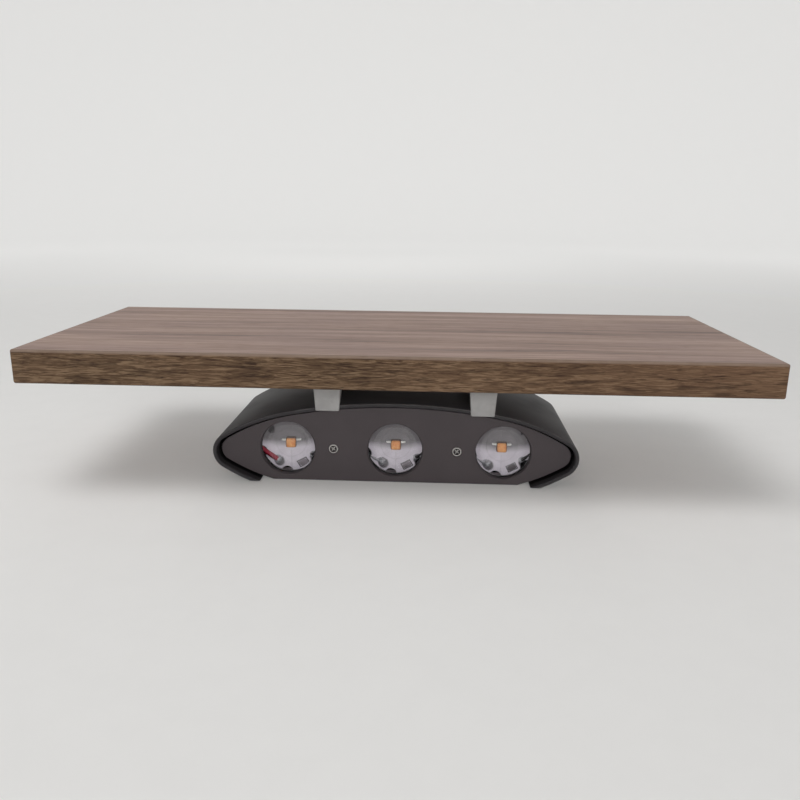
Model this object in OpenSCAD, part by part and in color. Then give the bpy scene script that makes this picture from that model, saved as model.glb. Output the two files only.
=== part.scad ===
// Up and down LED wall lamp with a wood-grain front panel.
// X runs along the panel, Y up the wall, Z out from the wall. The wall face is z = 0.

/* [Panel] */
// Width of the panel with its edge bands
panel_w = 350; // [300:1:420]
// Height of the panel on the wall, with its edge bands
panel_d = 140; // [125:1:180]
// Thickness of the panel
panel_t = 16; // [14:0.5:22]
// Thickness of an edge band
band_t = 1; // [0.5:0.1:2]
// Gap between the crown of the shell and the panel
panel_gap = 14; // [11:0.5:20]

/* [Shell] */
// Width of the shell, tip to tip
shell_w = 185; // [178:1:195]
// Length of the shell along the wall
shell_len = 80; // [76:1:110]
// Height of the crown above the axis of the oval
shell_rise = 27; // [26:0.5:30]
// Height of the oval's axis above the wall
axis_z = 16; // [15:0.5:18]
// Radius of the flat crown of the oval
crown_r = 280; // [270:5:320]
// Radius of the shoulder between crown and tip
shoulder_r = 100; // [80:5:120]
// Radius of the tip of the oval
tip_r = 10; // [9:0.5:11]
// Wall of the shell
wall = 2; // [1.5:0.1:2.5]
// Gap between the wall and the cut edges of the shell
lip_z = 0.5; // [0.2:0.1:1]
// Diameter of the stop rib inside each tip
stop_d = 8; // [6:0.5:9]
// Distance from the tip of the oval to the axis of its stop rib
stop_in = 12.5; // [11:0.5:15]

/* [End plates] */
// Depth of an end plate behind the rim of the shell
plate_recess = 5; // [4:0.5:7]
// Thickness of an end plate
plate_t = 3; // [2.5:0.5:4]
// Gap between an end plate and the inside of the shell
plate_gap = 1.5; // [0.5:0.1:1.8]
// Distance from the tip of the oval to the axis of its outer lens
lens_in = 37.5; // [37:0.5:42]
// Height of the lens row above the wall
lens_z = 17; // [16.5:0.5:18]
// Diameter of a lens hole
lens_hole_d = 28; // [24:0.5:28.5]
// Bevel on the edge of a lens hole
hole_bevel = 0.5; // [0.2:0.1:0.8]
// Distance from the axis of an outer lens to its end plate screw
screw_in = 23.5; // [21.5:0.5:25]

/* [Lens stack] */
// Radial gap between a lens and its hole
lens_gap = 0.2; // [0.2:0.1:0.6]
// Height of the domed face of a lens
lens_crown = 4; // [2:0.5:5]
// Height of the dome in front of the end plate
lens_proud = 0.5; // [0:0.1:1]
// Height of the domed back of a lens
lens_back = 1.9; // [1:0.1:2.2]
// Thickness of a lens flange
flange_t = 2.2; // [1.5:0.1:3]
// Width of a lens flange past the hole
flange_w = 1.5; // [1:0.1:2]
// Thickness of a lens seal
seal_t = 0.8; // [0.5:0.1:1.2]
// Wall of a lens holder
holder_wall = 1.75; // [1.2:0.05:2]
// Height of a lens holder
holder_h = 6.6; // [6:0.1:8]
// Width of the wire notches in a lens holder
notch_w = 2.4; // [2:0.1:3]
// Diameter of a star board
star_d = 26; // [23:0.5:27]
// Thickness of a star board
star_t = 1.6; // [1:0.1:2]
// Radius of a notch in the rim of a star board
star_notch_r = 2.4; // [1.2:0.1:2.5]
// Distance of the left solder pad from the middle of a star board
pad_left_r = 9.5; // [8:0.5:10]
// Distance of the right solder pad from the middle of a star board
pad_right_r = 10; // [8:0.5:10.5]
// Distance from the middle of a star board down to where the leads come in
entry_drop = 3.5; // [2:0.5:4]
// Side of an LED emitter
emitter_w = 4.3; // [3:0.1:5]
// Height of the emitter's base
emitter_t = 0.8; // [0.5:0.1:1.2]
// Diameter of the emitter's dome
emitter_dome_d = 3.4; // [2.4:0.1:4.2]

/* [LED rails] */
// Length of an LED rail past the axis of the outer lens
rail_past = 15.5; // [12.5:0.5:18]
// Height of an LED rail on the wall side of the lens row
rail_below = 13.5; // [12:0.5:14]
// Height of an LED rail on the panel side of the lens row
rail_above = 13.5; // [12:0.5:15]
// Thickness of an LED rail
rail_t = 2.5; // [2:0.5:3]
// Least gap between a rail and the inside of the shell
rail_gap = 1; // [0.5:0.1:2]
// Diameter of a post on an LED rail
post_d = 7; // [6:0.5:8]

/* [Wall bracket] */
// Distance from the tip of the oval to the end of the wall bracket
bracket_in = 30.5; // [29:0.5:32]
// Sheet thickness of the wall bracket
bracket_t = 1.5; // [1:0.1:2]
// Width of an ear
ear_w = 14; // [11:0.5:15]
// Corner radius of the bracket's base
bracket_corner = 4; // [2:0.5:6]
// Distance from the end of the wall bracket to the middle of its slot
slot_in = 12; // [11:0.5:13]
// Width of a wall slot
slot_w = 4.5; // [4:0.1:5.5]
// Length of a wall slot
slot_len = 12; // [8:0.5:12]
// Bore of the cable bushing
cable_d = 8; // [6:0.5:9]
// Wall of the cable bushing
bush_wall = 1; // [0.8:0.1:1.5]
// Height of the bushing's collar above the bracket
collar_h = 2.5; // [1.5:0.5:4]
// Width of the bushing's collar past its sleeve
collar_w = 1.5; // [1:0.1:2]

/* [Driver and terminal block] */
// Height of the driver's case without its lid
driver_h = 16; // [14:0.5:17]
// Thickness of the driver's lid
lid_t = 2; // [1.5:0.1:2.5]
// Wall of the driver's case
case_wall = 1.5; // [1:0.1:2]
// Distance from the middle of the bracket to the driver
driver_x = 10; // [9:0.5:11]
// Thickness of a driver lug
lug_t = 2; // [1.5:0.1:2.5]
// Distance from a driver lug to the edge of the bracket
lug_edge = 1.3; // [1:0.1:3]
// Distance from the terminal block to the wall slot
block_gap = 4; // [2:0.5:6]
// Height of the terminal block
block_h = 14; // [12:0.5:15]
// Distance between the poles of the terminal block
pole_pitch = 6; // [5.5:0.1:6.5]
// Distance from the middle of the bracket to the terminal block
block_x = 12; // [11:0.5:14]
// Diameter of a pole's wire tunnel
tunnel_d = 3; // [2.4:0.1:3.2]

/* [Panel clips] */
// Distance of the left clips from the middle
clip_left = 33.5; // [28:0.5:44]
// Distance of the right clips from the middle
clip_right = 43.5; // [28:0.5:44]
// Width of a clip's neck at the flange
neck_top_w = 14; // [12:0.5:16]
// Width of a clip's neck at the rim
neck_low_w = 11.6; // [10:0.1:12]
// Depth of a clip's neck behind the rim
neck_d = 5; // [4:0.5:7]
// Thickness of the tongue in front of the rim
tongue_t = 1.4; // [1:0.1:2]
// Thickness of the toe under the rim
toe_t = 0.6; // [0.5:0.1:1.6]
// Reach of the toe behind the rim
toe_reach = 3.5; // [2:0.5:3.8]
// Width of a clip's flange
flange_clip_w = 32; // [30:1:40]
// Depth of a clip's flange
flange_clip_d = 18; // [16:0.5:22]
// Thickness of a clip's flange
flange_clip_t = 3; // [2.5:0.5:4]
// Distance between the two screws of a clip
clip_screw_pitch = 22; // [21:0.5:24]

/* [Screws and leads] */
// Shank diameter of an end plate screw
screw_d = 3; // [2.5:0.1:3]
// Length of an end plate screw under its head
screw_len = 16; // [15:0.5:18]
// Head diameter of an end plate screw
head_d = 4.8; // [4.4:0.1:5.2]
// Head height of an end plate screw
head_h = 1.6; // [1.2:0.1:1.8]
// Depth of the counterbore for a screw head
sink_h = 1.8; // [1.8:0.1:2.2]
// Shank diameter of a clip screw
wood_screw_d = 3; // [2.5:0.1:3.5]
// Head diameter of a clip screw
wood_head_d = 5.6; // [5:0.1:6]
// Length of a clip screw under the flange face
wood_screw_len = 12; // [9:0.5:14]
// Shank diameter of the screws on the bracket
small_screw_d = 2; // [1.6:0.1:2.2]
// Head diameter of the screws on the bracket
small_head_d = 3.8; // [3.4:0.1:4]
// Head height of the screws on the bracket
small_head_h = 1.3; // [1:0.1:1.6]
// Diameter of a lead
lead_d = 1.4; // [1:0.1:1.6]

/* [Hidden] */
$fn = 96;

// Clearances: around a shank, in a thread, around a screw head, between a clip and the rim,
// around a lead, around the bushing and from the end of a rail to the lead that goes round it
shank_gap = 0.2;
thread_gap = 0.05;
head_gap = 0.15;
clip_gap = 0.15;
lead_gap = 0.2;
bush_gap = 0.1;
rail_end_gap = 4.5;
eps = 0.01;

// Leads: reach of a bend, height of the lane beside the terminal block, distance between the driver's outlets
bend = 4;
lane_z = 6;
outlet_pitch = 4;

// Distances from the middle of the lamp outwards along Y
rim_y = shell_len / 2;
plate_y = rim_y - plate_recess;
plate_back = plate_y - plate_t;
flange_front = plate_back - seal_t;
flange_back = flange_front - flange_t;
rail_front = flange_back - holder_h;
rail_back = rail_front - rail_t;
star_front = rail_front + star_t;
ear_back = rail_back - bracket_t;
lead_y = star_front + lead_d / 2 + eps;

// Heights above the wall
crown_z = axis_z + shell_rise;
panel_z = crown_z + panel_gap;
flange_z = panel_z - flange_clip_t;
toe_z = crown_z - 3 * wall;
entry_z = lens_z - entry_drop;
case_z = bracket_t;
lid_z = case_z + driver_h;
driver_hole_z = case_z + driver_h / 2;
block_hole_z = bracket_t + block_h * 0.45;

// Places along X that follow the width of the shell
half_w = shell_w / 2;
lens_pitch = half_w - lens_in;
screw_x = lens_pitch - screw_in;
rail_end = lens_pitch + rail_past;
bracket_w = 2 * (half_w - bracket_in);
slot_pitch = bracket_w - 2 * slot_in;
slot_near = (slot_pitch - slot_len) / 2;
driver_w = slot_near - driver_x;
driver_end = driver_x + driver_w;
block_w = slot_near - block_x - block_gap;

// Lens stack
lens_d = lens_hole_d - 2 * lens_gap;
flange_d = lens_hole_d + 2 * flange_w;
holder_bore = lens_hole_d + 0.5;
holder_d = holder_bore + 2 * holder_wall;
dome_r = (pow(lens_d / 2, 2) + pow(lens_crown, 2)) / (2 * lens_crown);
STAR_NOTCHES = 6;
star_turn = 21;
pad_left = pad_left_r * [cos(-128), sin(-128)];
pad_right = pad_right_r * [cos(-33), sin(-33)];

// Oval of the shell: crown, shoulder and tip arcs that run into each other
crown_c = [0, shell_rise - crown_r];
tip_c = [half_w - tip_r, 0];
centre_span = norm(tip_c - crown_c);
centre_dir = (tip_c - crown_c) / centre_span;
to_crown = crown_r - shoulder_r;
to_tip = shoulder_r - tip_r;
span_foot = (to_crown * to_crown - to_tip * to_tip + centre_span * centre_span) / (2 * centre_span);
span_off = sqrt(to_crown * to_crown - span_foot * span_foot);
shoulder_c = crown_c + span_foot * centre_dir + span_off * [-centre_dir[1], centre_dir[0]];
crown_end = (shoulder_c - crown_c) / to_crown;
shoulder_end = (tip_c - shoulder_c) / to_tip;

stop_x = half_w - stop_in;
bracket_d = 2 * rail_back;
block_d = 3 * pole_pitch + 2;
lug_d = small_head_d + 1;
lug_y = rail_back - lug_edge - lug_d / 2;
driver_d = 2 * (lug_y - small_head_d / 2 - 0.3);
lug_x = driver_x + small_head_d;
clip_screw_y = rim_y - flange_clip_d / 2;
block_screw = [-block_x - block_w / 2, pole_pitch / 2];
output_y = driver_d / 2 - outlet_pitch;
supply_y = output_y - outlet_pitch;
lane_y = (block_d / 2 + ear_back) / 2;
turn_y = (lane_y + output_y) / 2;

ENDS = ["lower", "upper"];
SIDES = ["left", "middle", "right"];
LENS_X = [-lens_pitch, 0, lens_pitch];
CLIP_SIDES = ["left", "right"];
STACK = ["lens", "lens_seal", "lens_holder", "star_board", "led_emitter"];

function stack_name(end, part, side) = str(end, "_", part, "_", side);
function clip_name(end, side) = str(end, "_clip_", side);

// Routes of the leads at the lower end, from a star board to the driver
red_route = [
    [pad_left[0] - lens_pitch, -lead_y, lens_z + pad_left[1]], [0.75 * bend - rail_end, -lead_y, entry_z],
    [-rail_end - bend / 4, -rail_front - bend / 2, entry_z],
    [-rail_end - rail_end_gap, bend / 4 - rail_front, entry_z - bend / 4],
    [bend / 8 - rail_end - rail_end_gap, bend / 2 - rail_back, entry_z - 0.75 * bend],
    [bend - rail_end, -lane_y - bend / 4, lane_z + bend / 2], [5 * bend - rail_end, -lane_y, lane_z],
    [-block_x - block_w / 2, -lane_y, lane_z - bend / 4], [-2.5 * bend, -lane_y, lane_z],
    [0, -turn_y, lane_z + bend / 2], [driver_x / 2, -output_y, driver_hole_z],
    [driver_x + case_wall, -output_y, driver_hole_z]
];
black_route = [
    [lens_pitch + pad_right[0], -lead_y, lens_z + pad_right[1]], [rail_end - 0.75 * bend, -lead_y, entry_z],
    [rail_end + bend / 4, -rail_front - bend / 2, entry_z],
    [rail_end + rail_end_gap, bend / 4 - rail_front, entry_z - bend / 4],
    [rail_end + rail_end_gap - bend / 8, bend / 2 - rail_back, entry_z - 0.75 * bend],
    [rail_end - bend, -lane_y - bend / 4, lane_z + 0.75 * bend],
    [rail_end - 3.5 * bend, -turn_y, lane_z + 0.75 * bend],
    [driver_end + 1.25 * bend, -output_y, driver_hole_z],
    [driver_end - case_wall, -output_y, driver_hole_z]
];
jumper_sag = 3.5;
supply_sag = 2;

// Extrudes an X-Z outline from y0 to y1
module along_y(y0, y1) {
    translate([0, y1, 0]) rotate([90, 0, 0]) linear_extrude(y1 - y0) children();
}

// Draws a piece of the lower end, or its mirror image at the upper end
module at_end(end) {
    if (end == "upper") mirror([0, 1, 0]) children();
    else children();
}

// Places a piece turned about a lens axis, with its own Z pointing out of the lamp
module outward(x, y, z = lens_z) {
    translate([x, -y, z]) rotate([90, 0, 0]) children();
}

// Plain oval, drawn in by inset on every side
module oval(inset = 0) {
    $fn = 720;
    crown = crown_r - inset;
    shoulder = shoulder_r - inset;
    tip = tip_r - inset;
    x1 = crown_end[0] * crown;
    x2 = shoulder_c[0] + shoulder_end[0] * shoulder;
    tall = 2 * shell_rise;
    translate([0, axis_z]) {
        intersection() {
            translate(crown_c) circle(crown);
            translate(-crown_c) circle(crown);
            square([2 * x1, tall], center = true);
        }
        for (s = [-1, 1]) {
            intersection() {
                translate([s * shoulder_c[0], shoulder_c[1]]) circle(shoulder);
                translate([s * shoulder_c[0], -shoulder_c[1]]) circle(shoulder);
                translate([s * x2 / 2, 0]) square([x2, tall], center = true);
            }
            translate([s * tip_c[0], 0]) circle(tip);
        }
    }
}

// Half plane above height z
module above(z) {
    translate([-shell_w, z]) square([2 * shell_w, panel_z]);
}

// Rectangle with true round corners
module round_rect(w, h, r) {
    square([w - 2 * r, h], center = true);
    square([w, h - 2 * r], center = true);
    for (x = [-1, 1], y = [-1, 1]) translate([x * (w / 2 - r), y * (h / 2 - r)]) circle(r);
}

// Smooth curve through points, with steps stretches between neighbours
function bend(a, b, c, d, t) =
    0.5 * (2 * b + (c - a) * t + (2 * a - 5 * b + 4 * c - d) * t * t + (3 * b - a - 3 * c + d) * t * t * t);
function smooth(p, steps) = let (n = len(p)) concat(
    [for (i = [0:n - 2], k = [0:steps - 1])
        bend(p[max(i - 1, 0)], p[i], p[i + 1], p[min(i + 2, n - 1)], k / steps)],
    [p[n - 1]]
);
function unit(v) = v / norm(v);
function tangents(p) = let (n = len(p))
    [for (i = [0:n - 1]) unit(p[min(i + 1, n - 1)] - p[max(i - 1, 0)])];
function carried(t, i, n) = i == len(t) ? [] :
    let (u = unit(n - (n * t[i]) * t[i])) concat([u], carried(t, i + 1, u));

// Round lead along a route
module lead(route, steps = 2) {
    sides = 8;
    p = smooth(route, steps);
    t = tangents(p);
    u = carried(t, 0, unit(cross(t[0], [0.2, 0.3, 1])));
    rings = len(p);
    points = [for (i = [0:rings - 1], k = [0:sides - 1])
        p[i] + lead_d / 2 * (cos(360 * k / sides) * u[i] + sin(360 * k / sides) * cross(t[i], u[i]))];
    walls = [for (i = [0:rings - 2], k = [0:sides - 1], half = [0, 1])
        let (a = i * sides + k, b = i * sides + (k + 1) % sides)
        half == 0 ? [a, a + sides, b] : [b, a + sides, b + sides]];
    caps = [for (k = [1:sides - 2], far = [0, 1])
        let (o = (rings - 1) * sides)
        far == 0 ? [0, k, k + 1] : [o, o + k + 1, o + k]];
    polyhedron(points, concat(walls, caps));
}

module panel_core() {
    color("burlywood") difference() {
        translate([-panel_w / 2 + band_t, -panel_d / 2 + band_t, panel_z])
            cube([panel_w - 2 * band_t, panel_d - 2 * band_t, panel_t]);
        at_clip_screws()
            cylinder(h = wood_screw_len - flange_clip_t + shank_gap, d = wood_screw_d + 2 * thread_gap);
    }
}

module long_band(s) {
    color("saddlebrown") translate([-panel_w / 2, s * (panel_d - band_t) / 2 - band_t / 2, panel_z])
        cube([panel_w, band_t, panel_t]);
}

module short_band(s) {
    color("saddlebrown") translate([s * (panel_w - band_t) / 2 - band_t / 2, -panel_d / 2 + band_t, panel_z])
        cube([band_t, panel_d - 2 * band_t, panel_t]);
}

// Oval tube cut flat at the wall, with a stop rib inside each tip for the end plates
module housing_shell() {
    color("dimgray") {
        along_y(-rim_y, rim_y) intersection() {
            difference() {
                oval();
                oval(wall);
            }
            above(lip_z);
        }
        along_y(-plate_back, plate_back) intersection() {
            union() for (s = [-1, 1]) {
                translate([s * stop_x, axis_z]) circle(d = stop_d);
                translate([s * (stop_x + stop_in / 2), axis_z]) square([stop_in, wall], center = true);
            }
            oval(wall / 2);
        }
    }
}

// Plate across the end of the shell, with lens holes and sunk screw holes
module end_plate() {
    color("dimgray") difference() {
        along_y(-plate_y, -plate_back) intersection() {
            oval(wall + plate_gap);
            above(0);
        }
        for (x = LENS_X) {
            outward(x, plate_back - eps) cylinder(h = plate_t + 2 * eps, d = lens_hole_d);
            outward(x, plate_y - hole_bevel)
                cylinder(h = hole_bevel + eps, d1 = lens_hole_d, d2 = lens_hole_d + 2 * hole_bevel);
        }
        for (s = [-1, 1]) {
            outward(s * screw_x, plate_back - eps)
                cylinder(h = plate_t + 2 * eps, d = screw_d + 2 * shank_gap);
            outward(s * screw_x, plate_y - sink_h)
                cylinder(h = sink_h + eps, d = head_d + 2 * head_gap);
        }
    }
}

// Cross recess cut into a screw head whose top is at height 0
module cross_recess(d, deep) {
    for (turn = [0, 90]) rotate(turn) cube([d * 0.6, d * 0.14, 2 * deep], center = true);
}

module end_plate_screws() {
    color("darkgray") for (end = ENDS, s = [-1, 1]) at_end(end) outward(s * screw_x, plate_y - sink_h)
        difference() {
            union() {
                cylinder(h = head_h, d = head_d);
                translate([0, 0, -screw_len]) cylinder(h = screw_len + eps, d = screw_d);
            }
            translate([0, 0, head_h]) cross_recess(head_d, head_h / 2);
        }
}

// Clear lens with a flange behind the end plate, a low dome in its hole and a lower one behind it
module lens(x) {
    back_d = holder_bore - 2.5;
    back_r = (pow(back_d / 2, 2) + pow(lens_back, 2)) / (2 * lens_back);
    color("aliceblue") outward(x, flange_back) {
        cylinder(h = flange_t, d = flange_d);
        intersection() {
            cylinder(h = plate_y + lens_proud - flange_back, d = lens_d);
            translate([0, 0, plate_y + lens_proud - flange_back - dome_r]) sphere(dome_r);
        }
        intersection() {
            translate([0, 0, -lens_back]) cylinder(h = lens_back + eps, d = back_d);
            translate([0, 0, back_r - lens_back]) sphere(back_r);
        }
    }
}

module lens_seal(x) {
    color("black") outward(x, flange_front) difference() {
        cylinder(h = seal_t, d = flange_d);
        translate([0, 0, -eps]) cylinder(h = seal_t + 2 * eps, d = lens_hole_d);
    }
}

// Ring that presses the lens to its seal, notched for the leads
module lens_holder(x) {
    color("black") outward(x, rail_front) difference() {
        cylinder(h = holder_h, d = holder_d);
        translate([0, 0, -eps]) cylinder(h = holder_h + 2 * eps, d = holder_bore);
        translate([-holder_d, -entry_drop - notch_w / 2, -eps])
            cube([2 * holder_d, notch_w, star_t + lead_d + lead_gap]);
    }
}

module star_board(x) {
    color("white") outward(x, rail_front) difference() {
        cylinder(h = star_t, d = star_d);
        for (k = [0:STAR_NOTCHES - 1]) rotate(star_turn + k * 360 / STAR_NOTCHES)
            translate([star_d / 2, 0, -eps]) cylinder(h = star_t + 2 * eps, r = star_notch_r);
    }
}

module led_emitter(x) {
    color("orange") outward(x, star_front) {
        translate([-emitter_w / 2, -emitter_w / 2, 0]) cube([emitter_w, emitter_w, emitter_t]);
        intersection() {
            translate([0, 0, emitter_t - eps]) cylinder(h = emitter_dome_d, d = emitter_dome_d);
            translate([0, 0, emitter_t]) sphere(d = emitter_dome_d);
        }
    }
}

// Heat spreader behind the star boards, with posts for the end plate
module led_rail() {
    color("silver") difference() {
        union() {
            along_y(-rail_front, -rail_back) intersection() {
                translate([-rail_end, lens_z - rail_below]) square([2 * rail_end, rail_below + rail_above]);
                oval(wall + rail_gap);
            }
            for (s = [-1, 1]) outward(s * screw_x, rail_front - eps)
                cylinder(h = plate_back - rail_front + eps, d = post_d);
        }
        for (s = [-1, 1]) outward(s * screw_x, rail_back - eps)
            cylinder(h = plate_back - rail_back + 2 * eps, d = screw_d + 2 * shank_gap);
    }
}

// Sheet strap on the wall, with ears that take the end plate screws
module wall_bracket() {
    color("gainsboro") difference() {
        union() {
            linear_extrude(bracket_t) round_rect(bracket_w, bracket_d, bracket_corner);
            for (end = ENDS, s = [-1, 1]) at_end(end) along_y(-rail_back, -ear_back) {
                translate([s * screw_x, lens_z]) circle(d = ear_w);
                translate([s * screw_x - ear_w / 2, 0]) square([ear_w, lens_z]);
            }
        }
        for (end = ENDS, s = [-1, 1]) at_end(end) outward(s * screw_x, ear_back - eps)
            cylinder(h = bracket_t + 2 * eps, d = screw_d + 2 * thread_gap);
        for (s = [-1, 1]) translate([s * slot_pitch / 2, 0, -eps]) linear_extrude(bracket_t + 2 * eps)
            round_slot();
        translate([0, 0, -eps])
            cylinder(h = bracket_t + 2 * eps, d = cable_d + 2 * bush_wall + 2 * bush_gap);
        at_bracket_screws(0) translate([0, 0, -eps])
            cylinder(h = bracket_t + 2 * eps, d = small_screw_d + 2 * thread_gap);
    }
}

module round_slot() {
    square([slot_len - slot_w, slot_w], center = true);
    for (s = [-1, 1]) translate([s * (slot_len - slot_w) / 2, 0]) circle(d = slot_w);
}

module cable_bushing() {
    color("black") difference() {
        union() {
            cylinder(h = bracket_t + eps, d = cable_d + 2 * bush_wall);
            translate([0, 0, bracket_t])
                cylinder(h = collar_h, d = cable_d + 2 * bush_wall + 2 * collar_w);
        }
        translate([0, 0, -eps]) cylinder(h = bracket_t + collar_h + 2 * eps, d = cable_d);
    }
}

// Open case with lugs and lead holes
module driver_case() {
    color("whitesmoke") difference() {
        union() {
            translate([driver_x, -driver_d / 2, case_z]) cube([driver_w, driver_d, driver_h]);
            for (s = [-1, 1]) translate([lug_x, s * lug_y, case_z]) {
                cylinder(h = lug_t, d = lug_d);
                translate([-lug_d / 2, s > 0 ? -lug_y : 0, 0]) cube([lug_d, lug_y, lug_t]);
            }
        }
        translate([driver_x + case_wall, -driver_d / 2 + case_wall, case_z + case_wall])
            cube([driver_w - 2 * case_wall, driver_d - 2 * case_wall, driver_h]);
        for (s = [-1, 1]) {
            for (x = [driver_x, driver_end]) lead_hole(x, s * output_y);
            lead_hole(driver_x, s * supply_y);
            translate([lug_x, s * lug_y, case_z - eps])
                cylinder(h = lug_t + 2 * eps, d = small_screw_d + 2 * shank_gap);
        }
    }
}

module lead_hole(x, y) {
    translate([x, y, driver_hole_z]) rotate([0, 90, 0])
        cylinder(h = 4 * case_wall, d = lead_d + 2 * lead_gap, center = true);
}

// Lid with a rim that drops into the case
module driver_lid() {
    color("whitesmoke") translate([driver_x, -driver_d / 2, lid_z]) {
        cube([driver_w, driver_d, lid_t]);
        difference() {
            inset_box(case_wall + lead_gap, lid_t);
            translate([0, 0, -eps]) inset_box(2 * case_wall + lead_gap, lid_t);
        }
    }
}

// Block under the lid, drawn in from the sides of the driver
module inset_box(inset, h) {
    translate([inset, inset, -h])
        cube([driver_w - 2 * inset, driver_d - 2 * inset, h + eps]);
}

// Three-pole block with a wire tunnel and two screw wells for each pole
module terminal_block() {
    color("white") difference() {
        translate([-block_x - block_w, -block_d / 2, bracket_t]) cube([block_w, block_d, block_h]);
        for (k = [-1:1]) {
            translate([-block_x - block_w - eps, k * pole_pitch, block_hole_z]) rotate([0, 90, 0])
                cylinder(h = block_w + 2 * eps, d = tunnel_d);
        }
        at_clamp_screws() cylinder(h = block_h, d = tunnel_d + 2 * thread_gap);
        for (k = [-1, 1]) translate([-block_x - block_w / 2, k * pole_pitch / 2, bracket_t + block_h / 2])
            cube([block_w + 2 * eps, pole_pitch * 0.15, block_h * 0.3], center = true);
        translate([block_screw[0], block_screw[1], 0]) {
            cylinder(h = bracket_t + block_h, d = small_screw_d + 2 * shank_gap);
            translate([0, 0, bracket_t + block_h - small_head_h])
                cylinder(h = block_h, d = small_head_d + 2 * shank_gap);
        }
    }
}

// Repeats a piece over the clamp screws, from the axis of their tunnels upwards
module at_clamp_screws() {
    for (k = [-1:1], s = [-1, 1])
        translate([-block_x - block_w / 2 + s * block_w / 4, k * pole_pitch, block_hole_z]) children();
}

module terminal_screws() {
    color("goldenrod") at_clamp_screws() translate([0, 0, tunnel_d / 4]) difference() {
        cylinder(h = block_h / 3, d = tunnel_d);
        translate([0, 0, block_h / 3]) cube([tunnel_d * 2, tunnel_d * 0.2, tunnel_d * 0.5], center = true);
    }
}

// Places a piece at the two driver lugs, lifted to height z
module at_bracket_screws(z) {
    for (s = [-1, 1]) translate([lug_x, s * lug_y, z]) children();
    translate([block_screw[0], block_screw[1], z]) children();
}

module bracket_screws() {
    color("darkgray") {
        for (s = [-1, 1]) translate([lug_x, s * lug_y, bracket_t + lug_t]) small_screw(bracket_t + lug_t);
        translate([block_screw[0], block_screw[1], bracket_t + block_h - small_head_h])
            small_screw(bracket_t + block_h - small_head_h);
    }
}

module small_screw(len) {
    difference() {
        union() {
            cylinder(h = small_head_h, d = small_head_d);
            translate([0, 0, -len]) cylinder(h = len + eps, d = small_screw_d);
        }
        translate([0, 0, small_head_h]) cross_recess(small_head_d, small_head_h / 2);
    }
}

module red_leads() {
    color("red") for (end = ENDS) at_end(end) lead(red_route);
}

module black_leads() {
    color("black") for (end = ENDS) at_end(end) lead(black_route);
}

// Leads between neighbouring star boards
module jumper_leads() {
    color("black") for (end = ENDS, x = [LENS_X[0], LENS_X[1]]) at_end(end) lead([
        [x + pad_right[0], -lead_y, lens_z + pad_right[1]], [x + holder_d / 2, -lead_y, entry_z],
        [x + lens_pitch / 2, -lead_y, entry_z - jumper_sag],
        [x + lens_pitch - holder_d / 2, -lead_y, entry_z],
        [x + lens_pitch + pad_left[0], -lead_y, lens_z + pad_left[1]]
    ]);
}

// Lead from the terminal block to the driver
module supply_lead(s) {
    lead([
        [-block_x - block_w / 4 - bend / 4, s * pole_pitch, block_hole_z],
        [-block_x + bend / 2, s * pole_pitch, block_hole_z],
        [(driver_x - block_x) / 2, s * (pole_pitch + supply_y) / 2, driver_hole_z - supply_sag],
        [driver_x - bend / 2, s * supply_y, driver_hole_z], [driver_x + case_wall, s * supply_y, driver_hole_z]
    ]);
}

module live_lead() {
    color("brown") supply_lead(1);
}

module neutral_lead() {
    color("blue") supply_lead(-1);
}

function clip_at(s) = s < 0 ? -clip_left : clip_right;

// Height of a clip's foot: its corner nearest the middle is a toe's thickness below the rim
function foot_z(s) = crown_z - crown_r + sqrt(
    pow(crown_r - wall - clip_gap - toe_t, 2) - pow(abs(clip_at(s)) - neck_low_w / 2, 2)
);

// Front view of a clip's neck, down to its straight foot
module neck_outline(s) {
    low = foot_z(s);
    low_w = neck_low_w - (neck_top_w - neck_low_w) * (toe_z - low) / (flange_z - toe_z);
    translate([clip_at(s), 0]) polygon([
        [-low_w / 2, low], [low_w / 2, low], [neck_top_w / 2, flange_z], [-neck_top_w / 2, flange_z]
    ]);
}

// Clip that grips the rim of the shell and carries the panel on its flange
module panel_clip(s) {
    tongue_y = rim_y + clip_gap;
    grip = wall + clip_gap;
    color("whitesmoke") difference() {
        union() {
            along_y(-tongue_y - eps, -rim_y + neck_d) difference() {
                neck_outline(s);
                oval(-clip_gap);
            }
            along_y(-tongue_y - tongue_t, -tongue_y) neck_outline(s);
            along_y(-tongue_y - eps, -rim_y + toe_reach) intersection() {
                neck_outline(s);
                oval(grip);
            }
            translate([clip_at(s) - flange_clip_w / 2, -tongue_y - tongue_t, flange_z])
                cube([flange_clip_w, flange_clip_d, flange_clip_t]);
        }
        at_clip_screws() {
            translate([0, 0, -flange_clip_t - eps])
                cylinder(h = flange_clip_t + 2 * eps, d = wood_screw_d + 2 * shank_gap);
            translate([0, 0, -flange_clip_t]) wood_head(shank_gap);
        }
    }
}

// Countersunk head, widened by gap
module wood_head(gap) {
    cone = (wood_head_d - wood_screw_d) / 2;
    translate([0, 0, -eps])
        cylinder(h = cone + eps, d1 = wood_head_d + 2 * gap, d2 = wood_screw_d + 2 * gap);
}

// Repeats a piece at the clip screws, from the underside of the panel upwards
module at_clip_screws() {
    for (end = ENDS, s = [-1, 1], k = [-1, 1]) at_end(end)
        translate([clip_at(s) + k * clip_screw_pitch / 2, -clip_screw_y, panel_z]) children();
}

module clip_screws() {
    color("darkgray") at_clip_screws() translate([0, 0, -flange_clip_t]) difference() {
        union() {
            wood_head(0);
            cylinder(h = wood_screw_len, d = wood_screw_d);
        }
        cross_recess(wood_head_d, wood_head_d / 8);
    }
}

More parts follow.
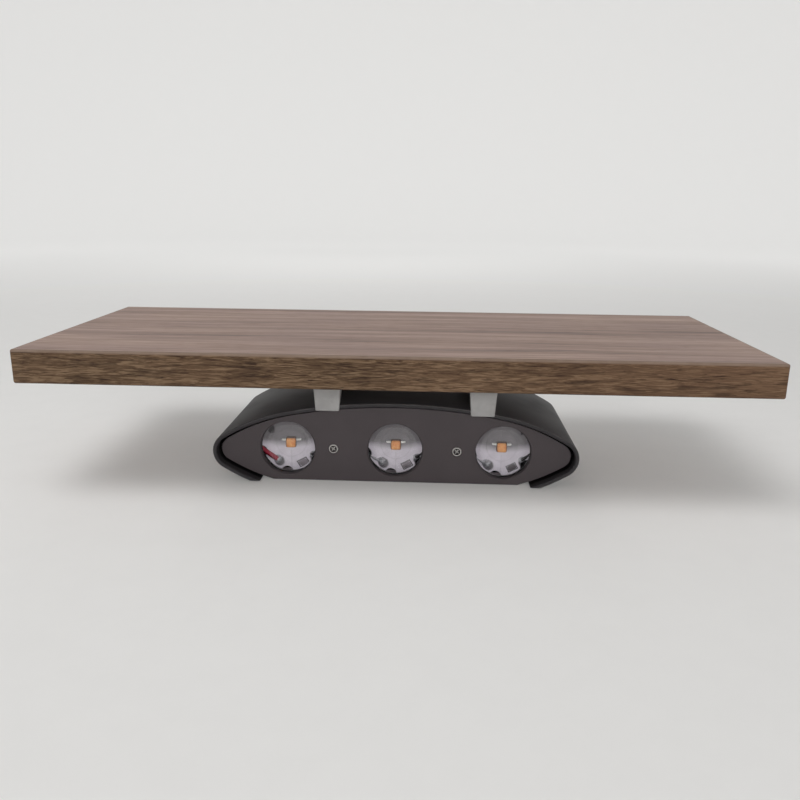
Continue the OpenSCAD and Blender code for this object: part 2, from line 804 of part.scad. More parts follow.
panel_core();
long_band(-1);  // edge_band_front
long_band(1);  // edge_band_rear
short_band(-1);  // edge_band_left
short_band(1);  // edge_band_right
housing_shell();
end_plate();  // lower_end_plate
at_end("upper") end_plate();  // upper_end_plate
end_plate_screws();
for (end = ENDS, i = [0:2]) at_end(end) {
    lens(LENS_X[i]);
    lens_seal(LENS_X[i]);
    lens_holder(LENS_X[i]);
    star_board(LENS_X[i]);
    led_emitter(LENS_X[i]);
}
led_rail();  // lower_led_rail
at_end("upper") led_rail();  // upper_led_rail
wall_bracket();
cable_bushing();
driver_case();
driver_lid();
terminal_block();
terminal_screws();
bracket_screws();
red_leads();
black_leads();
jumper_leads();
live_lead();
neutral_lead();
for (end = ENDS, i = [0:1]) at_end(end)
    panel_clip(2 * i - 1);
clip_screws();
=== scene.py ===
"""Looks of the wall lamp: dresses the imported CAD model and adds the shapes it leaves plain.

X runs along the panel, Y up the wall and Z out from the wall. The lamp lies on its back, as in the
photograph. All sizes are millimetres, and meshes are put down in metres.
"""

import logging
import math
from dataclasses import dataclass, field
from enum import Enum
from typing import Any, Mapping, Sequence

import bpy
import numpy as np
from mathutils import Matrix, Vector


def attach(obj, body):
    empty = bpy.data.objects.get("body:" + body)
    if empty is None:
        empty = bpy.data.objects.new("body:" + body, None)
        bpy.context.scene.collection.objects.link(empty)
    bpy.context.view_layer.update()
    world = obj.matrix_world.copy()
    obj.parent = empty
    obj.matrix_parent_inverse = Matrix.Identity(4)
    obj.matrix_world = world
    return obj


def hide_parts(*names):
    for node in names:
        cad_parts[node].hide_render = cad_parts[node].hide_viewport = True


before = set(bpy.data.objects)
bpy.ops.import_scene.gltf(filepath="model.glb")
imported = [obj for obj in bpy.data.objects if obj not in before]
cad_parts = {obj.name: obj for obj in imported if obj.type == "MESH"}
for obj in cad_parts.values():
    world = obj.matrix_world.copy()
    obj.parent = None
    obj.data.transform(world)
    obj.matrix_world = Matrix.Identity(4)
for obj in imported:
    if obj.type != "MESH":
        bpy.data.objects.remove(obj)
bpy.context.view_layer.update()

LOG = logging.getLogger("wall_lamp")
MM = 0.001
Array = np.ndarray
Colour = tuple[float, float, float]
Point = tuple[float, float, float]
Pair = tuple[float, float]


class End(Enum):
    """The two ends of the lamp, with the sign of their Y."""

    LOWER = -1
    UPPER = 1

    @property
    def word(self) -> str:
        """The word that CAD node names start with."""
        return self.name.lower()


class Side(Enum):
    """Places of the lenses along X, in lens pitches from the middle."""

    LEFT = -1
    MIDDLE = 0
    RIGHT = 1

    @property
    def word(self) -> str:
        """The word that CAD node names end with."""
        return self.name.lower()


class Grain(Enum):
    """The axis that wood grain runs along."""

    X = 0
    Y = 1


# Shapes


@dataclass
class Surface:
    """Points in millimetres and the faces over them.

    Attributes:
        points: n x 3 array of places.
        faces: lists of point numbers, each running anticlockwise seen from outside.
    """

    points: Array
    faces: list[list[int]]

    def at(self, end: End) -> "Surface":
        """The surface, drawn for the lower end, at the end that is asked for."""
        flipped = Surface(self.points * (1, -1, 1), [face[::-1] for face in self.faces])
        return self if end is End.LOWER else flipped

    @staticmethod
    def joined(parts: Sequence["Surface"]) -> "Surface":
        """One surface of several, each kept as it is.

        Args:
            parts: the surfaces to put together.

        Returns:
            A surface with all their points and faces.
        """
        starts = np.cumsum([0] + [len(part.points) for part in parts])
        faces = [[int(start) + i for i in face] for part, start in zip(parts, starts) for face in part.faces]
        return Surface(np.vstack([part.points for part in parts]), faces)


def full_turn(count: int) -> Array:
    """Angles of a full turn in equal steps."""
    return np.linspace(0, 2 * np.pi, count, endpoint=False)


def stacked(x: Array, y: Array, z: Array) -> Array:
    """Points of three coordinates, which are spread over one grid first."""
    return np.stack(np.broadcast_arrays(x, y, z), -1)


def unit(vectors: Array) -> Array:
    """The vectors at length 1."""
    return vectors / np.linalg.norm(vectors, axis=-1, keepdims=True)


def quarter(steps: int) -> tuple[Array, Array]:
    """A rounded edge of radius 1: how far it has run, 0 to 1, and how far it is drawn in, 1 to 0."""
    turn = np.radians(np.linspace(90, 0, steps))
    return 1 - np.sin(turn), 1 - np.cos(turn)


def round_box(angle: Array, half_x: float, half_z: float, power: int) -> Array:
    """Distance to the rounded rectangle |x / half_x|^power + |z / half_z|^power = 1 at each angle."""
    across, up = np.abs(np.cos(angle) / half_x), np.abs(np.sin(angle) / half_z)
    return (across**power + up**power) ** (-1 / power)


def arc(centre: Pair, radius: float, start: float, stop: float, count: int) -> Array:
    """count x 2 points of a circle arc between two angles in degrees."""
    angle = np.radians(np.linspace(start, stop, count))
    return np.stack([centre[0] + radius * np.cos(angle), centre[1] + radius * np.sin(angle)], -1)


def grid_faces(rows: int, cols: int) -> list[list[int]]:
    """Quads between neighbouring points of a grid that is numbered row by row, each row a closed ring.

    Args:
        rows: number of rows.
        cols: number of points in a row.

    Returns:
        Four point numbers for each quad.
    """
    row, col = np.meshgrid(np.arange(rows - 1) * cols, np.arange(cols), indexing="ij")
    after = (col + 1) % cols
    quads = np.stack([row + col, row + after, row + cols + after, row + cols + col], -1)
    return quads.reshape(-1, 4).tolist()


def loft(rings: Array) -> Surface:
    """A skin over rings of points, closed by a flat face at the first and the last ring.

    Point (i, j) of the grid is point j of ring i; each ring is a closed loop.

    Args:
        rings: array of rings x points x 3, each ring clockwise seen along the way the rings go.

    Returns:
        The closed surface.
    """
    count, size = rings.shape[:2]
    first = list(range(size))[::-1]
    last = list(range((count - 1) * size, count * size))
    return Surface(rings.reshape(-1, 3), grid_faces(count, size) + [first, last])


def revolve(radius: Array, depth: Array, x: float, z: float, turns: int = 96) -> Surface:
    """A profile turned about an axis along Y through (x, z), with a pole at both of its ends.

    Point (i, k) is (x + r cos a, depth, z + r sin a), with r and depth those of profile point i and a the
    k-th share of a full turn. The profile goes from the back of the piece to its front, towards minus Y.

    Args:
        radius: profile radii between the poles.
        depth: profile places along Y, with one more at the start and at the end for the poles.
        x: place of the axis along X.
        z: height of the axis.
        turns: points in a full turn.

    Returns:
        The closed surface.
    """
    angle = full_turn(turns)
    far = radius[:, None]
    rings = stacked(x + far * np.cos(angle), depth[1:-1, None], z + far * np.sin(angle))
    points = np.vstack([rings.reshape(-1, 3), [[x, depth[0], z], [x, depth[-1], z]]])
    last = (len(radius) - 1) * turns
    ring = np.arange(turns)
    after = (ring + 1) % turns
    faces = grid_faces(len(radius), turns)
    faces += np.stack([np.full(turns, len(points) - 2), after, ring], -1).tolist()
    faces += np.stack([np.full(turns, len(points) - 1), last + ring, last + after], -1).tolist()
    return Surface(points, faces)


def height_cap(x: float, z: float, y: float, height: Array, reach: Array, foot: float) -> Surface:
    """A cap on a face that looks towards minus Y, given by its height over a polar grid.

    Point (i, k) lies at distance reach[i, k] from (x, z) in direction k, lifted by height[i, k] towards
    minus Y. The outermost ring drops to the foot behind the face, and the cap is closed there.

    Args:
        x: middle of the cap along X.
        z: middle of the cap along Z.
        y: distance of the face from the middle of the lamp, along minus Y.
        height: heights by ring, from the inside outwards, and by direction or the same for all.
        reach: distances from the middle, in the same way.
        foot: depth of the closed back behind the face.

    Returns:
        The closed surface.
    """
    height, reach = np.broadcast_arrays(height, reach)
    count, turns = height.shape
    angle = full_turn(turns)
    far = np.vstack([reach[-1:], reach[::-1]])
    lift = np.vstack([np.full((1, turns), -foot), height[::-1]])
    rings = stacked(x + far * np.cos(angle), -y - lift, z + far * np.sin(angle))
    points = np.vstack([rings.reshape(-1, 3), [[x, -y - float(height[0].mean()), z]]])
    ring = np.arange(turns)
    last = count * turns
    tip = np.full(turns, len(points) - 1)
    faces = grid_faces(count + 1, turns) + [ring[::-1].tolist()]
    faces += np.stack([tip, last + ring, last + (ring + 1) % turns], -1).tolist()
    return Surface(points, faces)


def smooth_route(route: Array, steps: int) -> Array:
    """A Catmull-Rom curve through the points of a route.

    Between points b and c, with neighbours a and d, the place at share t is
    (2b + (c - a)t + (2a - 5b + 4c - d)t^2 + (3b - a - 3c + d)t^3) / 2.

    Args:
        route: n x 3 array of points.
        steps: stretches between neighbouring points.

    Returns:
        The points of the curve.
    """
    near = np.vstack([route[:1], route, route[-1:]])
    a, b, c, d = (near[k:len(near) - 3 + k, None] for k in range(4))
    t = np.linspace(0, 1, steps, endpoint=False)[None, :, None]
    bend = (2 * a - 5 * b + 4 * c - d) * t**2 + (3 * b - a - 3 * c + d) * t**3
    return np.vstack([(b + (c - a) * t / 2 + bend / 2).reshape(-1, 3), route[-1:]])


def tube(route: Sequence[Point], diameter: float, sides: int = 20, steps: int = 8) -> Surface:
    """A round lead: a circle carried along a smooth route.

    Point (i, k) is p + r (cos a u + sin a (t x u)), with p the i-th point of the route, t its direction
    and u a unit vector square to t, worked out from one fixed vector.

    Args:
        route: points that the lead goes through.
        diameter: its thickness.
        sides: points in the circle.
        steps: stretches between neighbouring points of the route.

    Returns:
        The closed surface.
    """
    path = smooth_route(np.array(route, float), steps)
    along = unit(np.gradient(path, axis=0))
    fixed = np.array((0.2, 0.3, 1.0))
    side = unit(fixed - (along @ fixed)[:, None] * along)
    angle = full_turn(sides)[None, :, None]
    ring = np.cos(angle) * side[:, None] + np.sin(angle) * np.cross(along, side)[:, None]
    return loft(path[:, None] + diameter / 2 * ring)


# Shader building


class Wire:
    """A shader value that takes part in Python arithmetic, adding a Math node for each step."""

    def __init__(self, sheet: "NodeSheet", socket: bpy.types.NodeSocket) -> None:
        """Keeps a socket and the node sheet it is on."""
        self.sheet = sheet
        self.socket = socket

    def __add__(self, other: "Wire | float") -> "Wire":
        """Sum."""
        return self.sheet.maths("ADD", self, other)

    def __sub__(self, other: "Wire | float") -> "Wire":
        """Difference."""
        return self.sheet.maths("SUBTRACT", self, other)

    def __rsub__(self, other: float) -> "Wire":
        """Difference from a number."""
        return self.sheet.maths("SUBTRACT", other, self)

    def __mul__(self, other: "Wire | float") -> "Wire":
        """Product."""
        return self.sheet.maths("MULTIPLY", self, other)

    __radd__ = __add__
    __rmul__ = __mul__

    def step(self, low: float, high: float) -> "Wire":
        """A smooth step from 0 at low to 1 at high."""
        inputs = {"Value": self, "From Min": low, "From Max": high}
        return self.sheet.node("ShaderNodeMapRange", {"interpolation_type": "SMOOTHSTEP"}, inputs, "Result")

    def size(self) -> "Wire":
        """The value without its sign."""
        return self.sheet.maths("ABSOLUTE", self)


def linear(red: int, green: int, blue: int) -> Colour:
    """A colour of 0 to 255 steps, as on a screen, as linear light."""
    share = np.array((red, green, blue)) / 255
    return tuple(np.where(share <= 0.04045, share / 12.92, ((share + 0.055) / 1.055) ** 2.4).tolist())


class NodeSheet:
    """The node sheet of one material, with a Principled shader at its end."""

    def __init__(self, name: str) -> None:
        """Starts a material.

        Args:
            name: name of the material.
        """
        self.material = bpy.data.materials.new(name)
        self.material.use_nodes = True
        self.tree = self.material.node_tree
        self.tree.nodes.clear()
        self.shader = self.tree.nodes.new("ShaderNodeBsdfPrincipled")
        output = self.tree.nodes.new("ShaderNodeOutputMaterial")
        self.tree.links.new(self.shader.outputs["BSDF"], output.inputs["Surface"])

    def node(
        self, kind: str, settings: Mapping[str, Any], inputs: Mapping[Any, Any], output: str | int
    ) -> Wire:
        """Adds a node.

        Args:
            kind: Blender's name of the node type.
            settings: properties that are set first; "stops" are a ramp's places and colours.
            inputs: values or wires for its sockets, by name or number.
            output: the socket that is asked for.

        Returns:
            The wire from that socket.
        """
        made = self.tree.nodes.new(kind)
        for key, value in settings.items():
            if key == "stops":
                self.set_stops(made.color_ramp, value)
            else:
                setattr(made, key, value)
        for key, value in inputs.items():
            self.feed(made.inputs[key], value)
        return Wire(self, made.outputs[output])

    @staticmethod
    def set_stops(ramp: bpy.types.ColorRamp, stops: Sequence[tuple[float, Colour]]) -> None:
        """Gives a colour ramp its places and colours.

        Args:
            ramp: the ramp, which starts with two stops.
            stops: place and colour of each stop.
        """
        while len(ramp.elements) < len(stops):
            ramp.elements.new(1.0)
        for element, (place, colour) in zip(ramp.elements, stops):
            element.position = place
            element.color = (*colour, 1.0)

    def feed(self, socket: bpy.types.NodeSocket, value: Any) -> None:
        """Links a wire to a socket, or sets the socket to a plain value.

        Args:
            socket: the socket of a node.
            value: a wire, a number, a vector or a colour.
        """
        if isinstance(value, Wire):
            self.tree.links.new(value.socket, socket)
        elif socket.type == "RGBA" and len(value) == 3:
            socket.default_value = (*value, 1.0)
        else:
            socket.default_value = value

    def set(self, socket: str, value: Any) -> None:
        """Sets or links a socket of the Principled shader."""
        self.feed(self.shader.inputs[socket], value)

    def maths(self, operation: str, *values: "Wire | float") -> Wire:
        """A Math node over values."""
        return self.node("ShaderNodeMath", {"operation": operation}, dict(enumerate(values)), 0)

    def vectors(self, operation: str, output: str, *values: "Wire | Point") -> Wire:
        """A Vector Math node over vectors, and the output of it that is asked for."""
        return self.node("ShaderNodeVectorMath", {"operation": operation}, dict(enumerate(values)), output)

    def place(self, scale: Point = (1, 1, 1), shift: Point = (0, 0, 0), turn: Point = (0, 0, 0)) -> Wire:
        """Object coordinates through a Mapping node.

        Args:
            scale: stretch along each axis.
            shift: shift in metres.
            turn: turn about each axis in radians.

        Returns:
            The wire of the place.
        """
        where = self.node("ShaderNodeTexCoord", {}, {}, "Object")
        inputs = {"Vector": where, "Location": shift, "Rotation": turn, "Scale": scale}
        return self.node("ShaderNodeMapping", {}, inputs, "Vector")

    def axes(self, vector: Wire) -> tuple[Wire, Wire, Wire]:
        """The three parts of a vector."""
        made = self.node("ShaderNodeSeparateXYZ", {}, {0: vector}, 0).socket.node
        return tuple(Wire(self, made.outputs[k]) for k in range(3))

    def combined(self, **parts: Wire) -> Wire:
        """A vector of the parts X, Y and Z that are given, 0 in the rest."""
        return self.node("ShaderNodeCombineXYZ", {}, parts, 0)

    def mark(self, name: str) -> Wire:
        """A number that the mesh carries at its points, 0 where it has none."""
        return self.node("ShaderNodeAttribute", {"attribute_name": name}, {}, "Fac")

    def noise(
        self, vector: Wire, scale: float, detail: float = 2, rough: float = 0.5, bend: float = 0
    ) -> Wire:
        """Noise texture, from 0 to 1."""
        inputs = {"Vector": vector, "Scale": scale, "Detail": detail, "Roughness": rough, "Distortion": bend}
        return self.node("ShaderNodeTexNoise", {}, inputs, 0)

    def ramp(self, value: Wire, stops: Sequence[tuple[float, Colour]]) -> Wire:
        """Colours along a value."""
        return self.node("ShaderNodeValToRGB", {"stops": stops}, {"Fac": value}, "Color")

    def mix(self, share: Wire, first: "Wire | Colour", second: "Wire | Colour") -> Wire:
        """Mixes two colours by a share."""
        return self.node("ShaderNodeMix", {"data_type": "RGBA"}, {0: share, 6: first, 7: second}, 2)

    def bump(self, height: Wire, distance: float) -> None:
        """Lets a height of 1 stand out by a distance in millimetres."""
        inputs = {"Height": height, "Distance": distance * MM, "Strength": 1.0}
        self.set("Normal", self.node("ShaderNodeBump", {}, inputs, "Normal"))


# Finishes


class Finish:
    """What a surface looks like: noise and colours that are fed to the shader of a new material."""

    def material(self, name: str) -> bpy.types.Material:
        """Makes the material.

        Args:
            name: name of the material.

        Returns:
            The material with all its nodes.
        """
        sheet = NodeSheet(name)
        self.paint(sheet)
        return sheet.material

    def paint(self, sheet: NodeSheet) -> None:
        """Feeds the shader of a node sheet; each finish has its own way."""
        raise NotImplementedError


@dataclass(frozen=True)
class Laminate(Finish):
    """Decor of the panel's face: fine wood figure with long faint streaks and short pores.

    Attributes:
        dark: colour of the darkest streaks.
        middle: colour between streaks.
        pale: colour of the palest streaks.
        run: how many times longer than wide a streak is.
        sway: how far streaks sway sideways, in metres.
    """

    dark: Colour = linear(102, 82, 75)
    middle: Colour = linear(147, 123, 111)
    pale: Colour = linear(180, 155, 142)
    run: float = 24.0
    sway: float = 0.012

    def paint(self, sheet: NodeSheet) -> None:
        """Feeds streaks, worn clouds and pores to the shader.

        Args:
            sheet: the material's node sheet.
        """
        long = sheet.place((1 / self.run, 1, 1))
        warp = sheet.noise(sheet.place((0.25, 1, 1)), 22, 2)
        bent = sheet.vectors("ADD", "Vector", long, sheet.combined(Y=(warp - 0.5) * self.sway))
        broad = sheet.noise(bent, 90, 3, 0.55)
        fine = sheet.noise(bent, 520, 4, 0.65)
        figure = broad * 0.55 + fine * 0.45
        colour = sheet.ramp(figure, [(0.36, self.dark), (0.50, self.middle), (0.64, self.pale)])
        pores = sheet.noise(sheet.place((0.09, 1, 1)), 1150, 1).step(0.60, 0.74)
        cloud = sheet.noise(sheet.place((0.5, 1, 1)), 26, 2).step(0.3, 0.75)
        worn = sheet.mix(cloud * 0.28, colour, linear(142, 121, 118))
        sheet.set("Base Color", sheet.mix(pores * 0.30, worn, linear(104, 88, 80)))
        sheet.set("Roughness", 0.42 + figure * 0.18 + pores * 0.12)
        sheet.set("Specular IOR Level", 0.25)
        sheet.bump(fine * 0.35 - pores, 0.05)


@dataclass(frozen=True)
class EdgeBand(Finish):
    """Decor of an edge band: wavy end grain along the band, with a pale arris at the top edge that is partly
    wear and partly painted highlight.

    Attributes:
        grain: the axis that the band runs along.
        dark: colour of the dark fibres.
        middle: colour of the ground.
        pale: colour of the pale fibres.
        arris: colour of the arris, pale from wear and from a painted highlight.
        top: height of the panel's face.
        slant: how far the grain is turned from its axis, in degrees.
        squash: share of its width that the grain is drawn with along its axis.
    """

    grain: Grain
    dark: Colour = linear(44, 29, 19)
    middle: Colour = linear(88, 68, 50)
    pale: Colour = linear(128, 105, 82)
    arris: Colour = linear(134, 115, 102)
    top: float = 73.0
    slant: float = 4.0
    squash: float = 0.085

    def paint(self, sheet: NodeSheet) -> None:
        """Feeds fibres, pores, dark streaks and the pale arris, worn and with a painted highlight, to the
        shader.

        Args:
            sheet: the material's node sheet.
        """
        tilt = math.radians(self.slant)
        turn = (0, tilt, 0) if self.grain is Grain.X else (tilt, 0, 0)
        scale = (self.squash, 1, 1) if self.grain is Grain.X else (1, self.squash, 1)
        long = sheet.place(scale, turn=turn)
        streak = sheet.noise(long, 500, 3, 0.6, 1.2).step(0.54, 0.64)
        wavy = sheet.noise(long, 640, 4, 0.65, 1.8)
        fibre = sheet.noise(long, 1400, 2, 0.6, 0.8)
        broad = sheet.noise(sheet.place(scale), 95, 2)
        figure = wavy * 0.48 + fibre * 0.30 + broad * 0.22
        colour = sheet.ramp(figure, [(0.40, self.dark), (0.50, self.middle), (0.60, self.pale)])
        pores = sheet.noise(long, 2100, 1, 0.5, 0.5).step(0.60, 0.72)
        where = sheet.place()
        right, _, height = sheet.axes(where)
        slow = sheet.noise(where, 9, 1).step(0.35, 0.65)
        warm = sheet.mix(slow * 0.2 + right.step(0.05, 0.16) * 0.25, colour, linear(128, 98, 76))
        fleck = sheet.mix(pores * 0.50 + streak * 0.55, warm, linear(38, 24, 16))
        # The arris along the top edge: pale wear, partly a painted highlight.
        edge = height.step((self.top - 1.6) * MM, (self.top - 0.8) * MM)
        wear_and_highlight = edge * (0.55 + sheet.noise(where, 180, 2) * 0.6)
        sheet.set("Base Color", sheet.mix(wear_and_highlight, fleck, self.arris))
        sheet.set("Roughness", 0.5 + figure * 0.2)
        sheet.set("Specular IOR Level", 0.25)
        sheet.bump(figure - pores * 0.5, 0.06)


@dataclass(frozen=True)
class PowderCoat(Finish):
    """Matt dark paint with a fine orange peel and faint dust, near black painted shade behind the end plates
    and a painted highlight along the rims' edges.

    Attributes:
        colour: ground colour.
        dust: colour of the dusty patches.
        primer: painted shade, a near black colour where the mesh attribute "inside" is 1.
        rubbed: painted highlight, a pale colour where the mesh attribute "edge" is 1.
        peel: height of the orange peel.
    """

    colour: Colour = linear(55, 53, 55)
    dust: Colour = linear(67, 65, 67)
    primer: Colour = linear(16, 15, 16)
    rubbed: Colour = linear(104, 102, 102)
    peel: float = 0.02

    def paint(self, sheet: NodeSheet) -> None:
        """Feeds dust, a painted highlight on the rims' edges, painted shade behind the end plates and orange
        peel to the shader.

        Args:
            sheet: the material's node sheet.
        """
        where = sheet.place()
        peel = sheet.noise(where, 1400, 2, 0.5)
        grit = sheet.noise(where, 4200, 1)
        cloud = sheet.noise(where, 45, 4, 0.6).step(0.42, 0.8)
        speck = grit.step(0.68, 0.8)
        paint = sheet.mix(cloud * 0.35 + speck * 0.10, self.colour, self.dust)
        # Painted highlight: the rims' outer edges are drawn pale.
        highlighted = sheet.mix(sheet.mark("edge") * (0.4 + cloud * 0.6), paint, self.rubbed)
        # Painted shade: the inside behind the end plates is drawn near black.
        sheet.set("Base Color", sheet.mix(sheet.mark("inside"), highlighted, self.primer))
        sheet.set("Roughness", 0.46 + cloud * 0.10 + grit * 0.06)
        sheet.set("Specular IOR Level", 0.2)
        sheet.bump(peel * 0.7 + grit * 0.3, self.peel)


@dataclass(frozen=True)
class Plastic(Finish):
    """Moulded plastic or rubber with slight flow marks and a fine texture.

    Attributes:
        colour: ground colour.
        mark: colour of the flow marks.
        rough: roughness.
        texture: height of the fine texture.
        coat: weight of a clear skin.
    """

    colour: Colour
    mark: Colour
    rough: float = 0.45
    texture: float = 0.01
    coat: float = 0.0

    def paint(self, sheet: NodeSheet) -> None:
        """Feeds flow marks and texture to the shader.

        Args:
            sheet: the material's node sheet.
        """
        where = sheet.place()
        flow = sheet.noise(where, 120, 3, 0.55, 0.6)
        fine = sheet.noise(where, 2600, 2)
        sheet.set("Base Color", sheet.mix(flow.step(0.35, 0.7), self.colour, self.mark))
        sheet.set("Roughness", self.rough + (flow - 0.5) * 0.12 + (fine - 0.5) * 0.06)
        sheet.set("Coat Weight", self.coat)
        sheet.bump(fine, self.texture)


@dataclass(frozen=True)
class Metal(Finish):
    """Bare metal with fine drawn lines and a cloudy tone.

    Attributes:
        colour: colour of the metal.
        shade: colour of its duller patches.
        rough: roughness.
        lines: stretch of the drawn lines along X.
        depth: height of the lines.
        bare_z: height below which the metal is drawn pale as painted light, in millimetres; 0 where none is.
        bare: colour drawn below that height, as painted light.
        metallic: how much it mirrors like metal; oxide skins mirror less.
    """

    colour: Colour
    shade: Colour
    rough: float = 0.32
    lines: float = 0.08
    depth: float = 0.008
    bare_z: float = 0.0
    bare: Colour = linear(150, 142, 146)
    metallic: float = 1.0

    def paint(self, sheet: NodeSheet) -> None:
        """Feeds drawn lines, dull patches and the painted light of the foot to the shader.

        Args:
            sheet: the material's node sheet.
        """
        drawn = sheet.noise(sheet.place((self.lines, 1, 1)), 1800, 3, 0.6)
        cloud = sheet.noise(sheet.place(), 160, 3, 0.6).step(0.3, 0.75)
        tone = sheet.mix(cloud, self.colour, self.shade)
        # Painted light: below this height the metal is drawn pale, so its darker colour above reads as a
        # shadow.
        if self.bare_z:
            height = sheet.axes(sheet.place())[2]
            tone = sheet.mix(1 - height.step((self.bare_z - 0.5) * MM, self.bare_z * MM), tone, self.bare)
        sheet.set("Base Color", tone)
        sheet.set("Metallic", self.metallic)
        sheet.set("Roughness", self.rough + drawn * 0.12 + cloud * 0.08)
        sheet.bump(drawn, self.depth)


@dataclass(frozen=True)
class WornScrew(Finish):
    """Dark plated steel, bright where the mesh attribute "worn" is 1: a painted highlight on the edge, wear
    in the recess.

    Attributes:
        colour: colour of the plating.
        bright: colour of the painted highlight on the edge and of the bare steel in the worn recess.
    """

    colour: Colour = linear(64, 61, 62)
    bright: Colour = linear(226, 223, 220)

    def paint(self, sheet: NodeSheet) -> None:
        """Feeds plating, wear and a painted highlight to the shader.

        Args:
            sheet: the material's node sheet.
        """
        grain = sheet.noise(sheet.place(), 2600, 3, 0.6)
        # Painted highlight on the head's edge ring, and wear in the cross recess.
        bare = sheet.mark("worn") * (0.6 + grain * 0.6)
        sheet.set("Base Color", sheet.mix(bare, self.colour, self.bright))
        sheet.set("Metallic", 1.0)
        sheet.set("Roughness", 0.34 + grain * 0.14)
        sheet.bump(grain, 0.006)


@dataclass(frozen=True)
class ClearLens(Finish):
    """Clear acrylic, with the faintest haze.

    Attributes:
        colour: colour of the light that goes through.
        index: refractive index.
    """

    colour: Colour = linear(252, 252, 253)
    index: float = 1.49

    def paint(self, sheet: NodeSheet) -> None:
        """Feeds clear acrylic and its haze to the shader.

        Args:
            sheet: the material's node sheet.
        """
        haze = sheet.noise(sheet.place(), 240, 3, 0.6).step(0.5, 0.85)
        sheet.set("Base Color", self.colour)
        sheet.set("Roughness", 0.004 + haze * 0.03)
        sheet.set("Transmission Weight", 1.0)
        sheet.set("IOR", self.index)


@dataclass(frozen=True)
class SolderMask(Finish):
    """Mask of a star board, white below and grey above the emitter, with the copper's outline in it.

    Attributes:
        x: middle of the board along X.
        z: middle of the board along Z.
        spots: painted shadows just below the solder blobs, and dark marks: place from the board's middle and
            radius.
        ring_r: radius of the copper ring.
        land_r: radius at which the split of the copper starts.
        pad_reach: distance of a bare pad from the board's middle.
        pad_angle: direction of the pad whose gap shows, in degrees.
        pad_half: half the length and width of the pad with half its gap.
    """

    x: float
    z: float
    spots: tuple[Point, ...]
    ring_r: float = 6.2
    land_r: float = 3.2
    pad_reach: float = 9.9
    pad_angle: float = -63.0
    pad_half: Pair = (1.8, 1.2)

    def paint(self, sheet: NodeSheet) -> None:
        """Feeds the white mask with its painted shade above the emitter, the copper's outline, painted
        shadows below the solder, dark marks and the gap round the pad to the shader.

        Args:
            sheet: the material's node sheet.
        """
        local = sheet.place(shift=(-self.x * MM, 0, -self.z * MM))
        across, _, up = sheet.axes(local)
        flat = sheet.combined(X=across, Y=up)
        away = sheet.vectors("LENGTH", "Value", flat)
        beyond = away.step(self.land_r * MM, (self.land_r + 0.3) * MM)
        split = (1 - across.size().step(0.15 * MM, 0.35 * MM)) * beyond
        line = 1 - (away - self.ring_r * MM).size().step(0.10 * MM, 0.28 * MM)
        copper = sheet.maths("MAXIMUM", split, line)
        cloud = sheet.noise(local, 320, 3, 0.55)
        patch = cloud.step(0.35, 0.75)
        white = sheet.mix(patch, linear(212, 205, 214), linear(224, 217, 226))
        # Painted shade: above a curved edge near the emitter the mask is drawn grey instead of white.
        grey = sheet.mix(patch, linear(112, 108, 111), linear(124, 120, 122))
        painted_shade = (up - across.size() * 0.08 + (cloud - 0.5) * 2 * MM).step(-3.2 * MM, 0.6 * MM)
        ground = sheet.mix(painted_shade, white, grey)
        # Painted shadows just below the solder blobs, and dark marks, drawn as dark spots on the mask.
        for x, z, radius in self.spots:
            size = radius * MM
            far = sheet.vectors("DISTANCE", "Value", flat, (x * MM, z * MM, 0))
            dark_spot = 1 - (far + (cloud - 0.5) * 0.6 * size).step(0.8 * size, 1.2 * size)
            ground = sheet.mix(dark_spot * 0.85, ground, linear(40, 36, 38))
        ground = sheet.mix(self.pad_edge(sheet, across, up) * 0.9, ground, linear(50, 46, 48))
        sheet.set("Base Color", sheet.mix(copper * 0.14, ground, linear(100, 95, 98)))
        sheet.set("Roughness", 0.34 + cloud * 0.14)
        sheet.set("Coat Weight", 0.15)
        sheet.bump(1 - copper + cloud * 0.1, 0.03)

    def pad_edge(self, sheet: NodeSheet, across: Wire, up: Wire) -> Wire:
        """The bare gap round the pad: a band along a rectangle that is turned with the pad.

        Args:
            sheet: the material's node sheet.
            across: distance to the right of the board's middle.
            up: distance above it.

        Returns:
            1 in the gap and 0 elsewhere.
        """
        turn = math.radians(self.pad_angle)
        out = across * math.cos(turn) + up * math.sin(turn) - self.pad_reach * MM
        along = across * math.sin(turn) - up * math.cos(turn)
        long = along.size() - self.pad_half[0] * MM
        wide = out.size() - self.pad_half[1] * MM
        beyond = sheet.maths("MAXIMUM", long, wide)
        return 1 - (beyond - 0.15 * MM).size().step(0.12 * MM, 0.3 * MM)


@dataclass(frozen=True)
class Phosphor(Finish):
    """Amber phosphor under a clear skin, mottled by its grains.

    Attributes:
        colour: colour of the thick places.
        pale: colour of the thin places.
    """

    colour: Colour = linear(222, 130, 58)
    pale: Colour = linear(246, 182, 108)

    def paint(self, sheet: NodeSheet) -> None:
        """Feeds grains and the clear skin to the shader.

        Args:
            sheet: the material's node sheet.
        """
        grain = sheet.noise(sheet.place(), 2400, 3, 0.6)
        broad = sheet.noise(sheet.place(), 500, 2)
        thin = (grain * 0.6 + broad * 0.4).step(0.35, 0.68)
        sheet.set("Base Color", sheet.mix(thin, self.colour, self.pale))
        sheet.set("Roughness", 0.25 + grain * 0.15)
        sheet.set("Coat Weight", 0.6)
        sheet.set("Coat Roughness", 0.05)
        sheet.bump(grain, 0.01)
